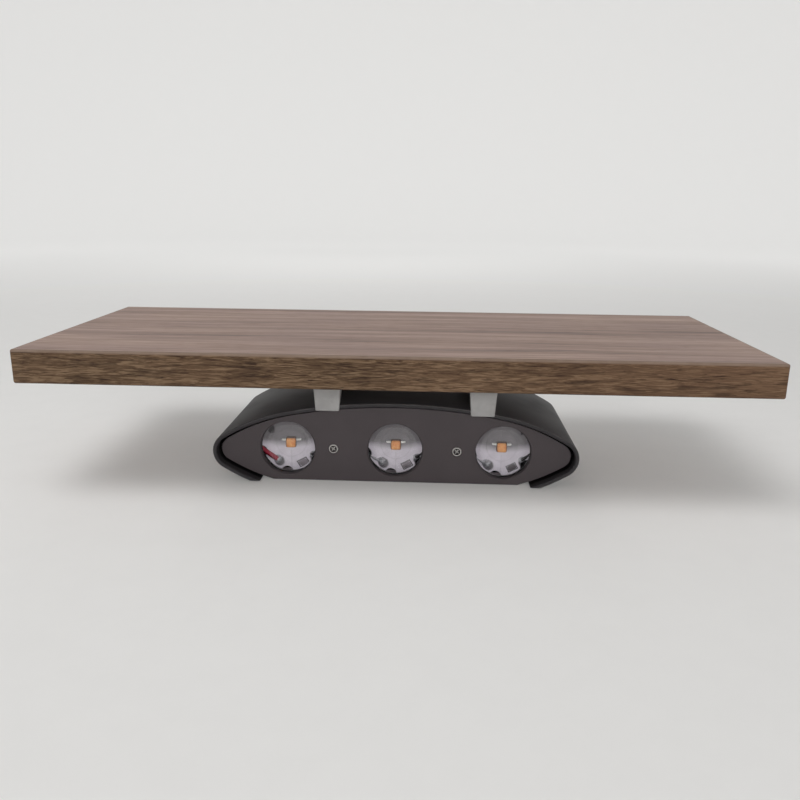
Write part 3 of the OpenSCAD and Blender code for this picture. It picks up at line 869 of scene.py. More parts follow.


# Painted shadows just below the two solder blobs of each board: place from the board's middle and radius.
PAD_SHADOWS = ((-5.1, -8.3, 2.1), (8.6, -6.9, 1.6))
BOARD_SPOTS = {-55: (*PAD_SHADOWS, (-8.4, 4.6, 1.5)), 0: PAD_SHADOWS, 55: (*PAD_SHADOWS, (8.0, 4.8, 0.6))}
BOARD_Z = 17.0
LEAD_TONES = {
    "lead_red": (linear(140, 20, 44), linear(160, 32, 56)),
    "lead_black": (linear(28, 27, 28), linear(38, 37, 38)),
    "lead_brown": (linear(92, 54, 34), linear(106, 64, 42)),
    "lead_blue": (linear(38, 78, 140), linear(52, 92, 156)),
}
LOOKS: dict[str, Finish] = {
    "panel_board": Laminate(),
    "edge_band_x": EdgeBand(Grain.X),
    "edge_band_y": EdgeBand(Grain.Y),
    "shell_paint": PowderCoat(),
    "plate_paint": PowderCoat(linear(80, 74, 76), linear(90, 84, 86)),
    "screw_black": WornScrew(),
    "screw_steel": Metal(linear(176, 174, 172), linear(140, 138, 137), 0.28),
    "solder": Metal(linear(214, 214, 218), linear(176, 176, 182), 0.16, 1.0, metallic=0.5),
    "lens_clear": ClearLens(),
    "seal_rubber": Plastic(linear(24, 24, 25), linear(32, 32, 33), 0.75, 0.02),
    "holder_black": Plastic(linear(26, 26, 27), linear(36, 36, 37), 0.5),
    "emitter_amber": Phosphor(),
    "emitter_base": Plastic(linear(84, 56, 40), linear(104, 72, 52), 0.4),
    # Painted light: the rail is drawn pale below 6.1 mm, so its dark colour above reads as a shadow crescent
    # in the board's notches.
    "rail_aluminium": Metal(linear(44, 43, 45), linear(34, 33, 35), 0.45, bare_z=6.1),
    "pad_tin": Metal(linear(160, 152, 158), linear(122, 115, 121), 0.3, 1.0, metallic=0.5),
    "pad_dark": Plastic(linear(62, 54, 58), linear(84, 76, 80), 0.4),
    # Painted highlight: the emitter's contacts are drawn matt and near white in place of the glints of silver
    # contacts.
    "contact_silver": Plastic(linear(240, 239, 236), linear(222, 221, 218), 0.25),
    "bracket_zinc": Metal(linear(186, 188, 192), linear(150, 153, 160), 0.36, 0.6),
    "driver_white": Plastic(linear(226, 226, 222), linear(214, 214, 210)),
    "clamp_brass": Metal(linear(196, 160, 92), linear(164, 128, 70)),
    "clip_white": Plastic(linear(168, 167, 166), linear(156, 155, 154), 0.4, 0.02, 0.1),
}
LOOKS |= {name: Plastic(*tones, 0.4, 0.01, 0.15) for name, tones in LEAD_TONES.items()}
LOOKS |= {f"star_white_{x}": SolderMask(x, BOARD_Z, spots) for x, spots in BOARD_SPOTS.items()}


# Pieces


class Bench:
    """Where finished pieces are put down and CAD nodes are dressed."""

    BODY = "root"

    def __init__(self) -> None:
        """Makes each finish once."""
        self.made = {name: finish.material(name) for name, finish in LOOKS.items()}

    def lay(
        self,
        name: str,
        surface: Surface,
        look: str,
        nodes: Sequence[str] = (),
        crease: float = 32.0,
        marks: Mapping[str, Array] | None = None,
    ) -> bpy.types.Object:
        """Makes an object of a surface, at the origin, riding on the lamp's one body.

        Args:
            name: name of the piece.
            surface: its shape in millimetres.
            look: name of its finish.
            nodes: CAD nodes that it stands for.
            crease: angle in degrees above which an edge is drawn sharp.
            marks: numbers for the points, by the name of the mesh attribute.

        Returns:
            The object.
        """
        mesh = bpy.data.meshes.new(name)
        mesh.from_pydata((surface.points * MM).tolist(), [], surface.faces)
        mesh.validate()
        for key, values in (marks or {}).items():
            mesh.attributes.new(key, "FLOAT", "POINT").data.foreach_set("value", values)
        mesh.shade_smooth()
        mesh.set_sharp_from_angle(angle=math.radians(crease))
        mesh.materials.append(self.made[look])
        piece = bpy.data.objects.new(name, mesh)
        bpy.context.scene.collection.objects.link(piece)
        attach(piece, self.BODY)
        if nodes:
            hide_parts(*nodes)
        LOG.info("piece %s: %d points, %d faces", name, len(mesh.vertices), len(mesh.polygons))
        return piece

    def dress(self, node: str, look: str) -> None:
        """Gives a CAD node a finish.

        Args:
            node: name of the CAD node.
            look: name of the finish.
        """
        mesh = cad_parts[node].data
        mesh.materials.clear()
        mesh.materials.append(self.made[look])
        LOG.info("node %s: %s", node, look)


@dataclass
class Panel:
    """The wood panel: the CAD core, and four edge bands with rounded outer edges.

    Attributes:
        width: size along X.
        depth: size along Y.
        base: height of the underside.
        thick: thickness.
        band: thickness of a band.
        round: radius of the outer edges.
        steps: points in a rounded edge.
        rings: rings along the straight run of a band.
    """

    width: float = 350.0
    depth: float = 140.0
    base: float = 57.0
    thick: float = 16.0
    band: float = 1.0
    round: float = 0.95
    steps: int = 7
    rings: int = 12
    OUTWARD = {"front": (0, -1), "rear": (0, 1), "left": (-1, 0), "right": (1, 0)}

    def section(self, inset: Array) -> Array:
        """Outline of a band across its run, drawn in by an inset.

        The outer corners are quarter circles about fixed middles, whose radius is the rounding less the
        inset; the inner corners stay sharp.

        Args:
            inset: how far each ring is drawn in.

        Returns:
            rings x points x 2 array of distance from the inner face, and height.
        """
        top = self.base + self.thick
        reach = (self.round - inset)[:, None, None]
        corner = self.band - self.round
        high = np.array((corner, top - self.round)) + reach * arc((0, 0), 1, 90, 0, self.steps)
        low = np.array((corner, self.base + self.round)) + reach * arc((0, 0), 1, 0, -90, self.steps)
        inner = np.zeros((len(inset), 2, 2))
        inner[:, 0, 1] = self.base + inset
        inner[:, 1, 1] = top - inset
        return np.concatenate([inner, high, low], axis=1)

    def run(self, half: float, rounded: bool) -> tuple[Array, Array]:
        """Places of the rings along a band, and the inset of each.

        Args:
            half: half the length of the band.
            rounded: whether its ends are rounded as a quarter circle.

        Returns:
            Places and insets.
        """
        straight = np.zeros(self.rings)
        if not rounded:
            return np.linspace(-half, half, self.rings), straight
        along, drawn = quarter(self.steps)
        near = -half + self.round * along[:-1]
        inset = self.round * drawn[:-1]
        middle = np.linspace(-half + self.round, half - self.round, self.rings)
        return np.concatenate([near, middle, -near[::-1]]), np.concatenate([inset, straight, inset[::-1]])

    def edge_band(self, out: tuple[int, int]) -> Surface:
        """A band: its section carried along its run, beside the core.

        A band along X has rounded ends, and one along Y runs between those two.

        Args:
            out: the way that the band faces, in X and Y.

        Returns:
            The closed surface.
        """
        along_x = out[0] == 0
        half = self.width / 2 if along_x else self.depth / 2 - self.band
        place, inset = self.run(half, along_x)
        section = self.section(inset)
        away = (self.depth if along_x else self.width) / 2 - self.band + section[..., 0]
        x = out[0] * away - out[1] * place[:, None]
        y = out[1] * away + out[0] * place[:, None]
        return loft(stacked(x, y, section[..., 1]))

    def build(self, bench: Bench) -> None:
        """Dresses the core and lays the bands.

        Args:
            bench: where pieces are put down.
        """
        bench.dress("panel_core", "panel_board")
        for word, out in self.OUTWARD.items():
            look = "edge_band_y" if out[0] else "edge_band_x"
            bench.lay(f"band_{word}", self.edge_band(out), look, [f"edge_band_{word}"])


@dataclass
class Oval:
    """The five-centre oval of the shell: a crown arc, two shoulder arcs and two tip arcs.

    Attributes:
        width: size from tip to tip.
        rise: height of the crown above the axis.
        axis: height of the axis above the wall.
        crown_r: radius of the crown.
        shoulder_r: radius of the shoulders.
        tip_r: radius of the tips.
        lip: height of the cut edges above the wall.
        counts: points of the crown, the shoulder, the tip and the arc below it, on one half.
        crown: middle of the crown arc, from the axis.
        shoulder: middle of the right shoulder arc.
        tip: middle of the right tip arc.
    """

    width: float = 185.0
    rise: float = 27.0
    axis: float = 16.0
    crown_r: float = 280.0
    shoulder_r: float = 100.0
    tip_r: float = 10.0
    lip: float = 0.5
    counts: tuple[int, ...] = (28, 24, 48, 12)
    crown: Array = field(init=False)
    shoulder: Array = field(init=False)
    tip: Array = field(init=False)

    def __post_init__(self) -> None:
        """Works out the middles of the arcs from the two distances that meet at the shoulder's middle."""
        self.crown = np.array((0, self.rise - self.crown_r))
        self.tip = np.array((self.width / 2 - self.tip_r, 0))
        span = float(np.linalg.norm(self.tip - self.crown))
        along = (self.tip - self.crown) / span
        to_crown = self.crown_r - self.shoulder_r
        to_tip = self.shoulder_r - self.tip_r
        foot = (to_crown**2 - to_tip**2 + span**2) / (2 * span)
        off = math.sqrt(to_crown**2 - foot**2)
        self.shoulder = self.crown + foot * along + off * np.array((-along[1], along[0]))

    def height(self, x: Array, inset: float) -> Array:
        """Height of the crown arc above the wall at x, for an oval drawn in by inset."""
        return self.axis + self.crown[1] + np.sqrt((self.crown_r - inset) ** 2 - np.asarray(x) ** 2)

    def half(self, inset: Array) -> Array:
        """The right half of the oval from the top to the cut edge, for several insets at once.

        The arcs keep their middles and lose the inset from their radii; the last arc ends where it meets the
        height of the cut edge.

        Args:
            inset: how far each outline is drawn in.

        Returns:
            points x insets x 2 array of X and Z.
        """
        first = math.atan2(*(self.shoulder - self.crown)[::-1])
        second = math.atan2(*(self.tip - self.shoulder)[::-1])
        radius = self.shoulder_r - inset
        cut = np.arcsin((self.lip - self.axis + self.shoulder[1]) / radius)
        below = self.shoulder * (1, -1)
        pieces = [
            (self.crown, self.crown_r - inset, math.pi / 2, first),
            (self.shoulder, radius, first, second),
            (self.tip, self.tip_r - inset, second, -second),
            (below, radius, -second, cut),
            (below, radius, cut, cut),
        ]
        parts = []
        for (middle, reach, start, stop), count in zip(pieces, (*self.counts, 1)):
            angle = start + np.linspace(0, 1, count, endpoint=False)[:, None] * (stop - start)
            parts.append(np.stack([middle[0] + reach * np.cos(angle), middle[1] + reach * np.sin(angle)], -1))
        return np.concatenate(parts) + (0, self.axis)

    def whole(self, inset: Array) -> Array:
        """The whole cut oval from the left cut edge over the top to the right one, for several insets."""
        right = self.half(inset)
        return np.concatenate([(right * (-1, 1))[:0:-1], right])


@dataclass
class ScrewHead:
    """A low domed screw head with a rounded edge and a cross recess.

    Attributes:
        across: diameter.
        tall: height.
        foot: how far its closed back lies behind its seat.
        arm_half: half the width of an arm of the cross.
        arm_end: share of the radius that the arms reach to.
        recess: depth of the cross.
        edge_from: share of the radius at which the edge starts to round.
        wear_from: share of the radius at which the painted highlight of the edge starts.
        wear: how worn the recess is.
        turn: how far the cross is turned, in radians.
        directions: directions of the polar grid.
    """

    across: float = 4.8
    tall: float = 1.6
    foot: float = 3.0
    arm_half: float = 0.42
    arm_end: float = 0.56
    recess: float = 0.75
    edge_from: float = 0.90
    wear_from: float = 0.70
    wear: float = 0.8
    turn: float = math.pi / 5
    directions: int = 128

    def seated(self, x: float, z: float, y: float) -> tuple[Surface, Array]:
        """The head as a height over a polar grid.

        The height is that of a flat circle segment with its edge rounded, less the recess where the distance
        to one of the two arms of the cross is under half the arm's width. It carries a painted highlight
        along the edge and is worn in the recess.

        Args:
            x: middle of the head along X.
            z: middle of the head along Z.
            y: distance of its seat from the middle of the lamp.

        Returns:
            The head, and how bright each of its points is drawn: a painted highlight on the edge, wear in the
            recess.
        """
        share = np.concatenate([np.linspace(0.02, 0.86, 44), np.sin(np.linspace(1.04, math.pi / 2, 9))])
        far = share[:, None]
        over = np.clip((far - self.edge_from) / (1 - self.edge_from), 0, 1)
        edge = np.sqrt(1 - over**2)
        dome = self.tall * (0.72 + 0.38 * edge) - 0.10 * far**2
        dome[-1] = 0.35 * self.tall
        angle = full_turn(self.directions) + self.turn
        reach = far * self.across / 2
        arms = np.minimum(np.abs(np.cos(angle)), np.abs(np.sin(angle))) * reach
        inside = np.clip((self.arm_half - arms) / 0.16, 0, 1) * np.clip((self.arm_end - far) / 0.08, 0, 1)
        depth = self.recess * inside**2 * (3 - 2 * inside)
        # Painted highlight along the edge, and wear in the cross recess.
        wear_and_highlight = np.maximum(np.clip((far - self.wear_from) / 0.08, 0, 1), self.wear * inside)
        worn = np.concatenate([wear_and_highlight[-1], wear_and_highlight[::-1].ravel(), [self.wear]])
        return height_cap(x, z, y, dome - depth, reach, self.foot), worn


@dataclass
class Shell:
    """The oval tube with its end plates and their screws.

    Attributes:
        oval: outline of the tube.
        rim: distance of the rims from the middle, along Y.
        wall: thickness of the tube.
        rim_round: radius of the edges of the rims.
        stop_x: place of a stop rib.
        stop_d: diameter of a stop rib.
        stop_y: half the length of a stop rib.
        plate_y: distance of an end plate's face from the middle.
        fade: width over which the paint gives way to painted shade at an end plate.
        screw_x: place of an end plate screw.
        screw_z: height of an end plate screw.
        seat_y: distance of a screw's seat from the middle.
        head: the head of a screw.
    """

    oval: Oval = field(default_factory=Oval)
    rim: float = 40.0
    wall: float = 2.0
    rim_round: float = 0.55
    stop_x: float = 80.0
    stop_d: float = 8.0
    stop_y: float = 32.0
    plate_y: float = 35.0
    fade: float = 0.5
    screw_x: float = 31.5
    screw_z: float = 17.0
    seat_y: float = 33.2
    head: ScrewHead = field(default_factory=ScrewHead)
    # Strength of the painted highlight across a rounded rim edge.
    RUB = (0, 0.6, 1, 1, 0.7, 0.2)

    def tube_section(self) -> tuple[Array, Array]:
        """The wall's own section: a long rectangle with four rounded corners.

        Returns:
            Inset from the outside and place along Y, point by point round the section.
        """
        near, far, end = self.rim_round, self.wall - self.rim_round, self.rim - self.rim_round
        middles = ((far, end), (near, end), (near, -end), (far, -end))
        corners = [arc(middle, near, 90 * k, 90 * k + 90, len(self.RUB)) for k, middle in enumerate(middles)]
        level = np.array((-self.plate_y - self.fade, -self.plate_y, self.plate_y, self.plate_y + self.fade))
        inner = np.stack([np.full(len(level), self.wall), level], -1)
        loop = np.concatenate([corners[2], corners[3], inner, corners[0], corners[1]])
        return loop[:, 0], loop[:, 1]

    def bare(self, surface: Surface) -> Array:
        """1 at the points behind the end plates, where the inside is darkened by painted shade, and 0
        elsewhere.
        """
        return (np.abs(surface.points[:, 1]) < self.plate_y + self.fade / 2).astype(np.float32)

    def rubbed(self, surface: Surface) -> Array:
        """Painted highlight along the outer edge of the rims, falling to 0 on the face and the outside of the
        tube.

        The tube's points come first, section by section, with the outer edges at each section's start and
        end.

        Args:
            surface: the shell.

        Returns:
            How strong the painted highlight is at each point, from 0 to 1.
        """
        inset, _ = self.tube_section()
        section = np.concatenate([self.RUB, np.zeros(len(inset) - 2 * len(self.RUB)), self.RUB[::-1]])
        rows = len(self.oval.whole(inset))
        marks = np.zeros(len(surface.points), np.float32)
        marks[:rows * len(section)] = np.tile(section, rows)
        return marks

    def tube(self) -> Surface:
        """The shell: at each point of the oval, the wall's section with its inset taken inwards.

        Returns:
            The closed surface.
        """
        inset, along = self.tube_section()
        outline = self.oval.whole(inset)
        return loft(stacked(outline[..., 0], along, outline[..., 1]))

    def stop_rib(self, sign: int) -> Surface:
        """A round rib along Y inside a tip, with a web to the wall: one closed outline carried along Y.

        Args:
            sign: left (-1) or right (1).

        Returns:
            The closed surface.
        """
        web = self.wall / 2
        reach = self.oval.width / 2 - self.wall / 2 - self.stop_x
        meet = math.degrees(math.asin(web / (self.stop_d / 2)))
        ring = arc((0, 0), self.stop_d / 2, meet, 360 - meet, 40)
        outline = np.vstack([ring, [(reach, -web), (reach, web)]])
        ends = sign * np.array((self.stop_y, -self.stop_y))[:, None]
        return loft(stacked(sign * (self.stop_x + outline[:, 0]), ends, self.oval.axis + outline[:, 1]))

    def build(self, bench: Bench) -> None:
        """Lays the tube, its ribs and the screw heads, and dresses the end plates.

        Args:
            bench: where pieces are put down.
        """
        whole = Surface.joined([self.tube(), self.stop_rib(-1), self.stop_rib(1)])
        # Marks for painted shade behind the end plates and a painted highlight along the rims' outer edges.
        marks = {"inside": self.bare(whole), "edge": self.rubbed(whole)}
        bench.lay("shell_tube", whole, "shell_paint", ["housing_shell"], marks=marks)
        for end in End:
            bench.dress(f"{end.word}_end_plate", "plate_paint")
        heads = [self.head.seated(sign * self.screw_x, self.screw_z, self.seat_y) for sign in (-1, 1)]
        whole = Surface.joined([head.at(end) for end in End for head, _ in heads])
        marks = {"worn": np.concatenate([worn for _ in End for _, worn in heads])}
        bench.lay("plate_screw_heads", whole, "screw_black", ["end_plate_screws"], marks=marks)


@dataclass
class LensStack:
    """One lens with what sits behind it: seal, holder, star board, solder and emitter.

    Attributes:
        end: the end of the lamp.
        side: the place along the row.
        pitch: distance between lenses.
        z: height of the lens row.
        flange_back: distance of the lens's flat back from the middle of the lamp.
        flange_front: distance of the flange's front face.
        flange_d: diameter of the flange.
        body_d: diameter of the lens in its hole.
        apex: distance of the top of the dome.
        crown: height of the dome.
        back: height of the domed back.
        back_d: diameter of the domed back.
        board_front: distance of the star board's face.
        left_pad: place of the left solder pad, as a distance from the board's middle and an angle in degrees.
        right_pad: place of the right solder pad, in the same way.
        bare_size: length, width and height of a pad that no lead ends on.
        entry: how far below the middle of the board the leads come in.
        lead_y: distance of a lead's axis from the middle of the lamp.
        core_d: diameter of a lead's bare end.
        core_x: how far a bare end reaches to the left of the board's middle.
        emitter_w: side of the emitter.
        emitter_t: height of the emitter's base.
        dome_h: height of the phosphor.
        contact_size: length, width and height of a contact of the emitter.
    """

    end: End
    side: Side
    pitch: float = 55.0
    z: float = BOARD_Z
    flange_back: float = 29.0
    flange_front: float = 31.2
    flange_d: float = 31.0
    body_d: float = 27.6
    apex: float = 35.5
    crown: float = 4.0
    back: float = 1.9
    back_d: float = 26.0
    board_front: float = 24.0
    left_pad: Pair = (9.5, -128.0)
    right_pad: Pair = (10.0, -33.0)
    bare_size: Point = (3.4, 2.2, 0.12)
    entry: float = 3.5
    lead_y: float = 24.71
    core_d: float = 0.9
    core_x: float = 13.5
    emitter_w: float = 4.3
    emitter_t: float = 0.8
    dome_h: float = 0.9
    contact_size: Point = (2.1, 0.8, 0.6)
    BARE_ANGLES = (SolderMask.pad_angle, 62.0, 118.0)

    @property
    def x(self) -> float:
        """Place of the lens axis along X."""
        return self.side.value * self.pitch

    def node(self, part: str) -> str:
        """Name of one of the stack's CAD nodes."""
        return f"{self.end.word}_{part}_{self.side.word}"

    def lens(self) -> Surface:
        """The lens: a domed back, a flange, a straight body and a domed front, turned about the axis.

        Both domes are parts of spheres. The front's depth at radius r is apex - R + sqrt(R^2 - r^2), with R
        from the dome's height and width, and the back's is found in the same way.

        Returns:
            The closed surface.
        """
        body = self.body_d / 2
        ball = (body**2 + self.crown**2) / (2 * self.crown)
        rear = (self.back_d**2 / 4 + self.back**2) / (2 * self.back)
        flange = self.flange_d / 2
        inner = np.linspace(1.0, self.back_d / 2, 24)
        inner_y = self.flange_back - self.back + rear - np.sqrt(rear**2 - inner**2)
        flat = (self.back_d / 2 + 0.1, flange - 0.3)
        flat_y = (self.flange_back, self.flange_back)
        edge = (flange, flange, flange - 0.2, body + 0.1, body)
        front = self.flange_front
        edge_y = (self.flange_back + 0.3, front - 0.2, front, front, front + 0.2)
        dome = np.linspace(body, 1.0, 30)
        dome_y = self.apex - ball + np.sqrt(ball**2 - dome**2)
        radius = np.concatenate([inner, flat, edge, dome])
        depth = np.concatenate([[self.flange_back - self.back], inner_y, flat_y, edge_y, dome_y, [self.apex]])
        return revolve(radius, -depth, self.x, self.z).at(self.end)

    def spot(self, pad: Pair) -> Pair:
        """Place in X and Z of a pad that is given by distance and angle."""
        angle = math.radians(pad[1])
        return self.x + pad[0] * math.cos(angle), self.z + pad[0] * math.sin(angle)

    def mound(self, pad: Pair, radius: float, height: float) -> Surface:
        """A blob of solder: height H (1 - s^2)^0.8 at share s of its slightly uneven edge.

        Args:
            pad: distance and angle of its pad.
            radius: mean radius of the edge.
            height: height in the middle.

        Returns:
            The closed surface.
        """
        share = np.linspace(0.05, 1, 14)[:, None]
        angle = full_turn(40)
        reach = share * radius * (1 + 0.08 * np.cos(2 * angle + pad[1]) + 0.05 * np.sin(3 * angle))
        lift = height * (1 - share**2) ** 0.8
        return height_cap(*self.spot(pad), self.board_front, lift, reach, 0.1).at(self.end)

    def pad(self, x: float, z: float, size: Point, turn: float) -> Surface:
        """A tinned pad: a rounded rectangle |u|^5 + |v|^5 = 1, slightly raised in the middle.

        Args:
            x: middle of the pad along X.
            z: middle of the pad along Z.
            size: its length, width and height.
            turn: how far it is turned, in degrees.

        Returns:
            The closed surface.
        """
        outline = round_box(full_turn(48) - math.radians(turn), size[0] / 2, size[1] / 2, 5)
        share = np.linspace(0.1, 1, 8)[:, None]
        lift = size[2] * (1 - 0.6 * share**4)
        return height_cap(x, z, self.board_front, lift, share * outline, 0.1).at(self.end)

    def solder(self) -> Surface:
        """Blobs where the leads end, and a jumper's bare end.

        Returns:
            All of them as one surface.
        """
        parts = [self.mound(self.left_pad, 1.8, 1.7), self.mound(self.right_pad, 1.3, 0.9)]
        if self.side is not Side.LEFT:
            x, z = self.spot(self.left_pad)
            rim = (self.x - self.core_x, -self.lead_y, self.z - self.entry - 1)
            parts.append(tube([(x, -self.lead_y, z), rim], self.core_d, 12).at(self.end))
        return Surface.joined(parts)

    def bare_pads(self) -> Surface:
        """The tinned pads that no lead ends on, each square to its direction."""
        pads = [(self.spot((SolderMask.pad_reach, angle)), angle + 90) for angle in self.BARE_ANGLES]
        return Surface.joined([self.pad(x, z, self.bare_size, turn) for (x, z), turn in pads])

    def contacts(self) -> Surface:
        """The emitter's two contacts."""
        places = [self.x + sign * (self.emitter_w / 2 + 0.8) for sign in (-1, 1)]
        return Surface.joined([self.pad(x, self.z + 1.0, self.contact_size, 0) for x in places])

    def emitter_base(self) -> Surface:
        """The emitter's base: a low block over |u|^8 + |v|^8 = 1, with its top edge rounded.

        Returns:
            The closed surface.
        """
        outline = round_box(full_turn(64), self.emitter_w / 2, self.emitter_w / 2, 8)
        share = np.array((0.2, 0.5, 0.8, 0.9, 0.96, 1.0))[:, None]
        lift = self.emitter_t - 0.12 * np.clip((share - 0.9) / 0.1, 0, 1) ** 2
        return height_cap(self.x, self.z, self.board_front, lift, share * outline, 0.05).at(self.end)

    def phosphor(self) -> Surface:
        """The amber dome: height H (1 - s^2)^0.5 over a rounded square |u|^6 + |v|^6 = 1.

        Returns:
            The closed surface.
        """
        half = 0.46 * self.emitter_w
        share = np.sin(np.linspace(0.08, math.pi / 2, 16))[:, None]
        lift = self.dome_h * np.sqrt(np.clip(1 - share**2, 0, 1))
        seat = self.board_front + self.emitter_t
        reach = share * round_box(full_turn(64), half, half, 6)
        return height_cap(self.x, self.z - 0.12, seat, lift, reach, 0.1).at(self.end)

    def build(self, bench: Bench) -> None:
        """Lays the lens, the solder and the emitter, and dresses the seal, the holder and the board.

        Args:
            bench: where pieces are put down.
        """
        tag = f"{self.end.word}_{self.side.word}"
        glass = bench.lay(f"lens_{tag}", self.lens(), "lens_clear", [self.node("lens")], crease=40)
        glass.visible_shadow = False
        bench.dress(self.node("lens_seal"), "seal_rubber")
        bench.dress(self.node("lens_holder"), "holder_black")
        bench.dress(self.node("star_board"), f"star_white_{round(self.x)}")
        tin = "pad_dark" if self.side is Side.RIGHT else "pad_tin"
        bench.lay(f"solder_{tag}", self.solder(), "solder")
        # The contacts carry a painted highlight: matt near white in place of silver glints.
        bench.lay(f"contacts_{tag}", self.contacts(), "contact_silver")
        bench.lay(f"pads_{tag}", self.bare_pads(), tin)
        bench.lay(f"emitter_base_{tag}", self.emitter_base(), "emitter_base")
        bench.lay(f"emitter_dome_{tag}", self.phosphor(), "emitter_amber", [self.node("led_emitter")])


@dataclass
class Clip:
    """A clip that grips the rim of the shell and carries the panel.

    Attributes:
        end: the end of the lamp.
        sign: left (-1) or right (1).
        oval: outline of the shell.
        left: distance of a left clip from the middle.
        right: distance of a right clip from the middle.
        rim: distance of the rim from the middle.
        wall: thickness of the shell.
        gap: room between clip and shell.
        tongue: thickness of the tongue in front of the rim.
        neck: depth of the neck behind the rim.
        neck_round: radius of the neck's edge on the crown.
        toe: thickness of the toe under the rim.
        toe_min: the least thickness of the toe at its sides.
        reach: reach of the toe behind the rim.
        flange_z: height of the flange's underside.
        flange_w: width of the flange.
        flange_d: depth of the flange.
        flange_t: thickness of the flange.
        flange_corner: radius of the flange's corners.
        flange_edge: radius of the flange's lower edge.
        wide_top: width of the neck at the flange.
        wide_low: width of the neck at the toe.
        toe_z: height that this width is taken at.
        round: radius of the foot's front edge.
        side_in: how far the rounding of the sides reaches along X, Y and Z.
        steps: points in a rounded edge of the foot and the flange's corners.
        side_steps: rings in the rounding of a side.
    """

    end: End
    sign: int
    oval: Oval = field(default_factory=Oval)
    left: float = 33.5
    right: float = 43.5
    rim: float = Shell.rim
    wall: float = Shell.wall
    gap: float = 0.15
    tongue: float = 1.4
    neck: float = 5.0
    neck_round: float = 0.4
    toe: float = 0.6
    toe_min: float = 0.04
    reach: float = 3.5
    flange_z: float = 54.0
    flange_w: float = 32.0
    flange_d: float = 18.0
    flange_t: float = 3.0
    flange_corner: float = 1.2
    flange_edge: float = 0.5
    wide_top: float = 14.0
    wide_low: float = 11.6
    toe_z: float = 37.0
    round: float = 0.7
    side_in: Point = (0.8, 0.8, 0.3)
    steps: int = 7
    side_steps: int = 6

    @property
    def x(self) -> float:
        """Distance of the clip from the middle."""
        return self.left if self.sign < 0 else self.right

    def outline(self) -> Array:
        """The hooked outline of the clip's middle in Y and Z, from the tongue round the toe to the neck.

        Returns:
            points x 2 array.
        """
        inner = -self.rim - self.gap
        front = inner - self.tongue
        back = -self.rim + self.neck
        toe_back = -self.rim + self.reach
        grip = self.wall + self.gap
        saddle = float(self.oval.height(self.x, -self.gap))
        toe_top = float(self.oval.height(self.x, grip))
        foot = float(self.oval.height(self.x - self.wide_low / 2, grip + self.toe))
        top = self.flange_z + 0.5
        r, n = self.round, self.neck_round
        return np.vstack([
            [(front, top)],
            arc((front + r, foot + r), r, 180, 270, self.steps),
            [(toe_back, foot), (toe_back, toe_top), (inner, toe_top), (inner, saddle)],
            arc((back - n, saddle + n), n, 270, 360, 5),
            [(back, top)],
        ])

    def hook(self) -> Surface:
        """The neck with its tongue and toe: a hooked outline carried across the clip's width.

        The foot is straight; the points that bear on the shell shift in height with the crown arc, but stay
        above the foot. The width grows with height. At both sides the faces that look to the front and down
        are drawn in along a quarter circle.

        Returns:
            The closed surface.
        """
        outline = self.outline()
        bears = self.steps + 2
        follow = np.zeros(len(outline))
        follow[bears:-1] = 1
        step = unit(np.roll(outline, -1, axis=0) - outline) + unit(outline - np.roll(outline, 1, axis=0))
        normal = unit(np.stack([step[:, 1], -step[:, 0]], -1))
        along, drawn = quarter(self.side_steps)
        side = np.ones(self.side_steps)
        middle = np.linspace(-1, 1, 9)[1:-1]
        still = np.zeros(len(middle))
        share = np.concatenate([-side, middle, side])[:, None]
        push = np.concatenate([along, still, along[::-1]])[:, None] * self.side_in[0]
        inset = np.concatenate([drawn, still, drawn[::-1]])[:, None, None]
        flat = outline + inset * np.clip(-normal, 0, 1) * self.side_in[1:]
        height = flat[..., 1]
        slope = (self.wide_top - self.wide_low) / (self.flange_z - self.toe_z)
        half = (self.wide_low + (height - self.toe_z) * slope) / 2
        across = self.sign * self.x + share * half - np.sign(share) * push
        lift = self.oval.height(across, 0) - self.oval.height(self.x, 0)
        rings = stacked(across, flat[..., 0], height + follow * lift)
        toe = slice(bears, bears + 2)
        rings[:, toe, 2] = np.maximum(rings[:, toe, 2], rings[:, bears - 1:bears, 2] + self.toe_min)
        return loft(rings[:, ::-1]).at(self.end)

    def flange(self) -> Surface:
        """The flange: a rectangle with rounded corners, drawn in along a quarter circle at its lower edge.

        Returns:
            The closed surface.
        """
        y = -self.rim - self.gap - self.tongue + self.flange_d / 2
        half = np.array((self.flange_w / 2, self.flange_d / 2)) - self.flange_corner
        signs = ((1, 1), (-1, 1), (-1, -1), (1, -1))
        corners = np.vstack([arc((0, 0), 1, 90 * k, 90 * k + 90, self.steps) for k in range(4)])
        middle = np.repeat(np.array(signs) * half, self.steps, axis=0)
        along, drawn = quarter(self.side_steps)
        inset = np.append(self.flange_edge * drawn, 0)[:, None, None]
        level = np.append(self.flange_edge * along, self.flange_t)[:, None]
        plan = middle + (self.flange_corner - inset) * corners + (self.sign * self.x, y)
        return loft(stacked(plan[..., 0], plan[..., 1], self.flange_z + level)).at(self.end)

    def build(self, bench: Bench) -> None:
        """Lays the clip in place of its CAD node.

        Args:
            bench: where pieces are put down.
        """
        word = "left" if self.sign < 0 else "right"
        whole = Surface.joined([self.hook(), self.flange()])
        node = f"{self.end.word}_clip_{word}"
        bench.lay(f"hook_{self.end.word}_{word}", whole, "clip_white", [node])


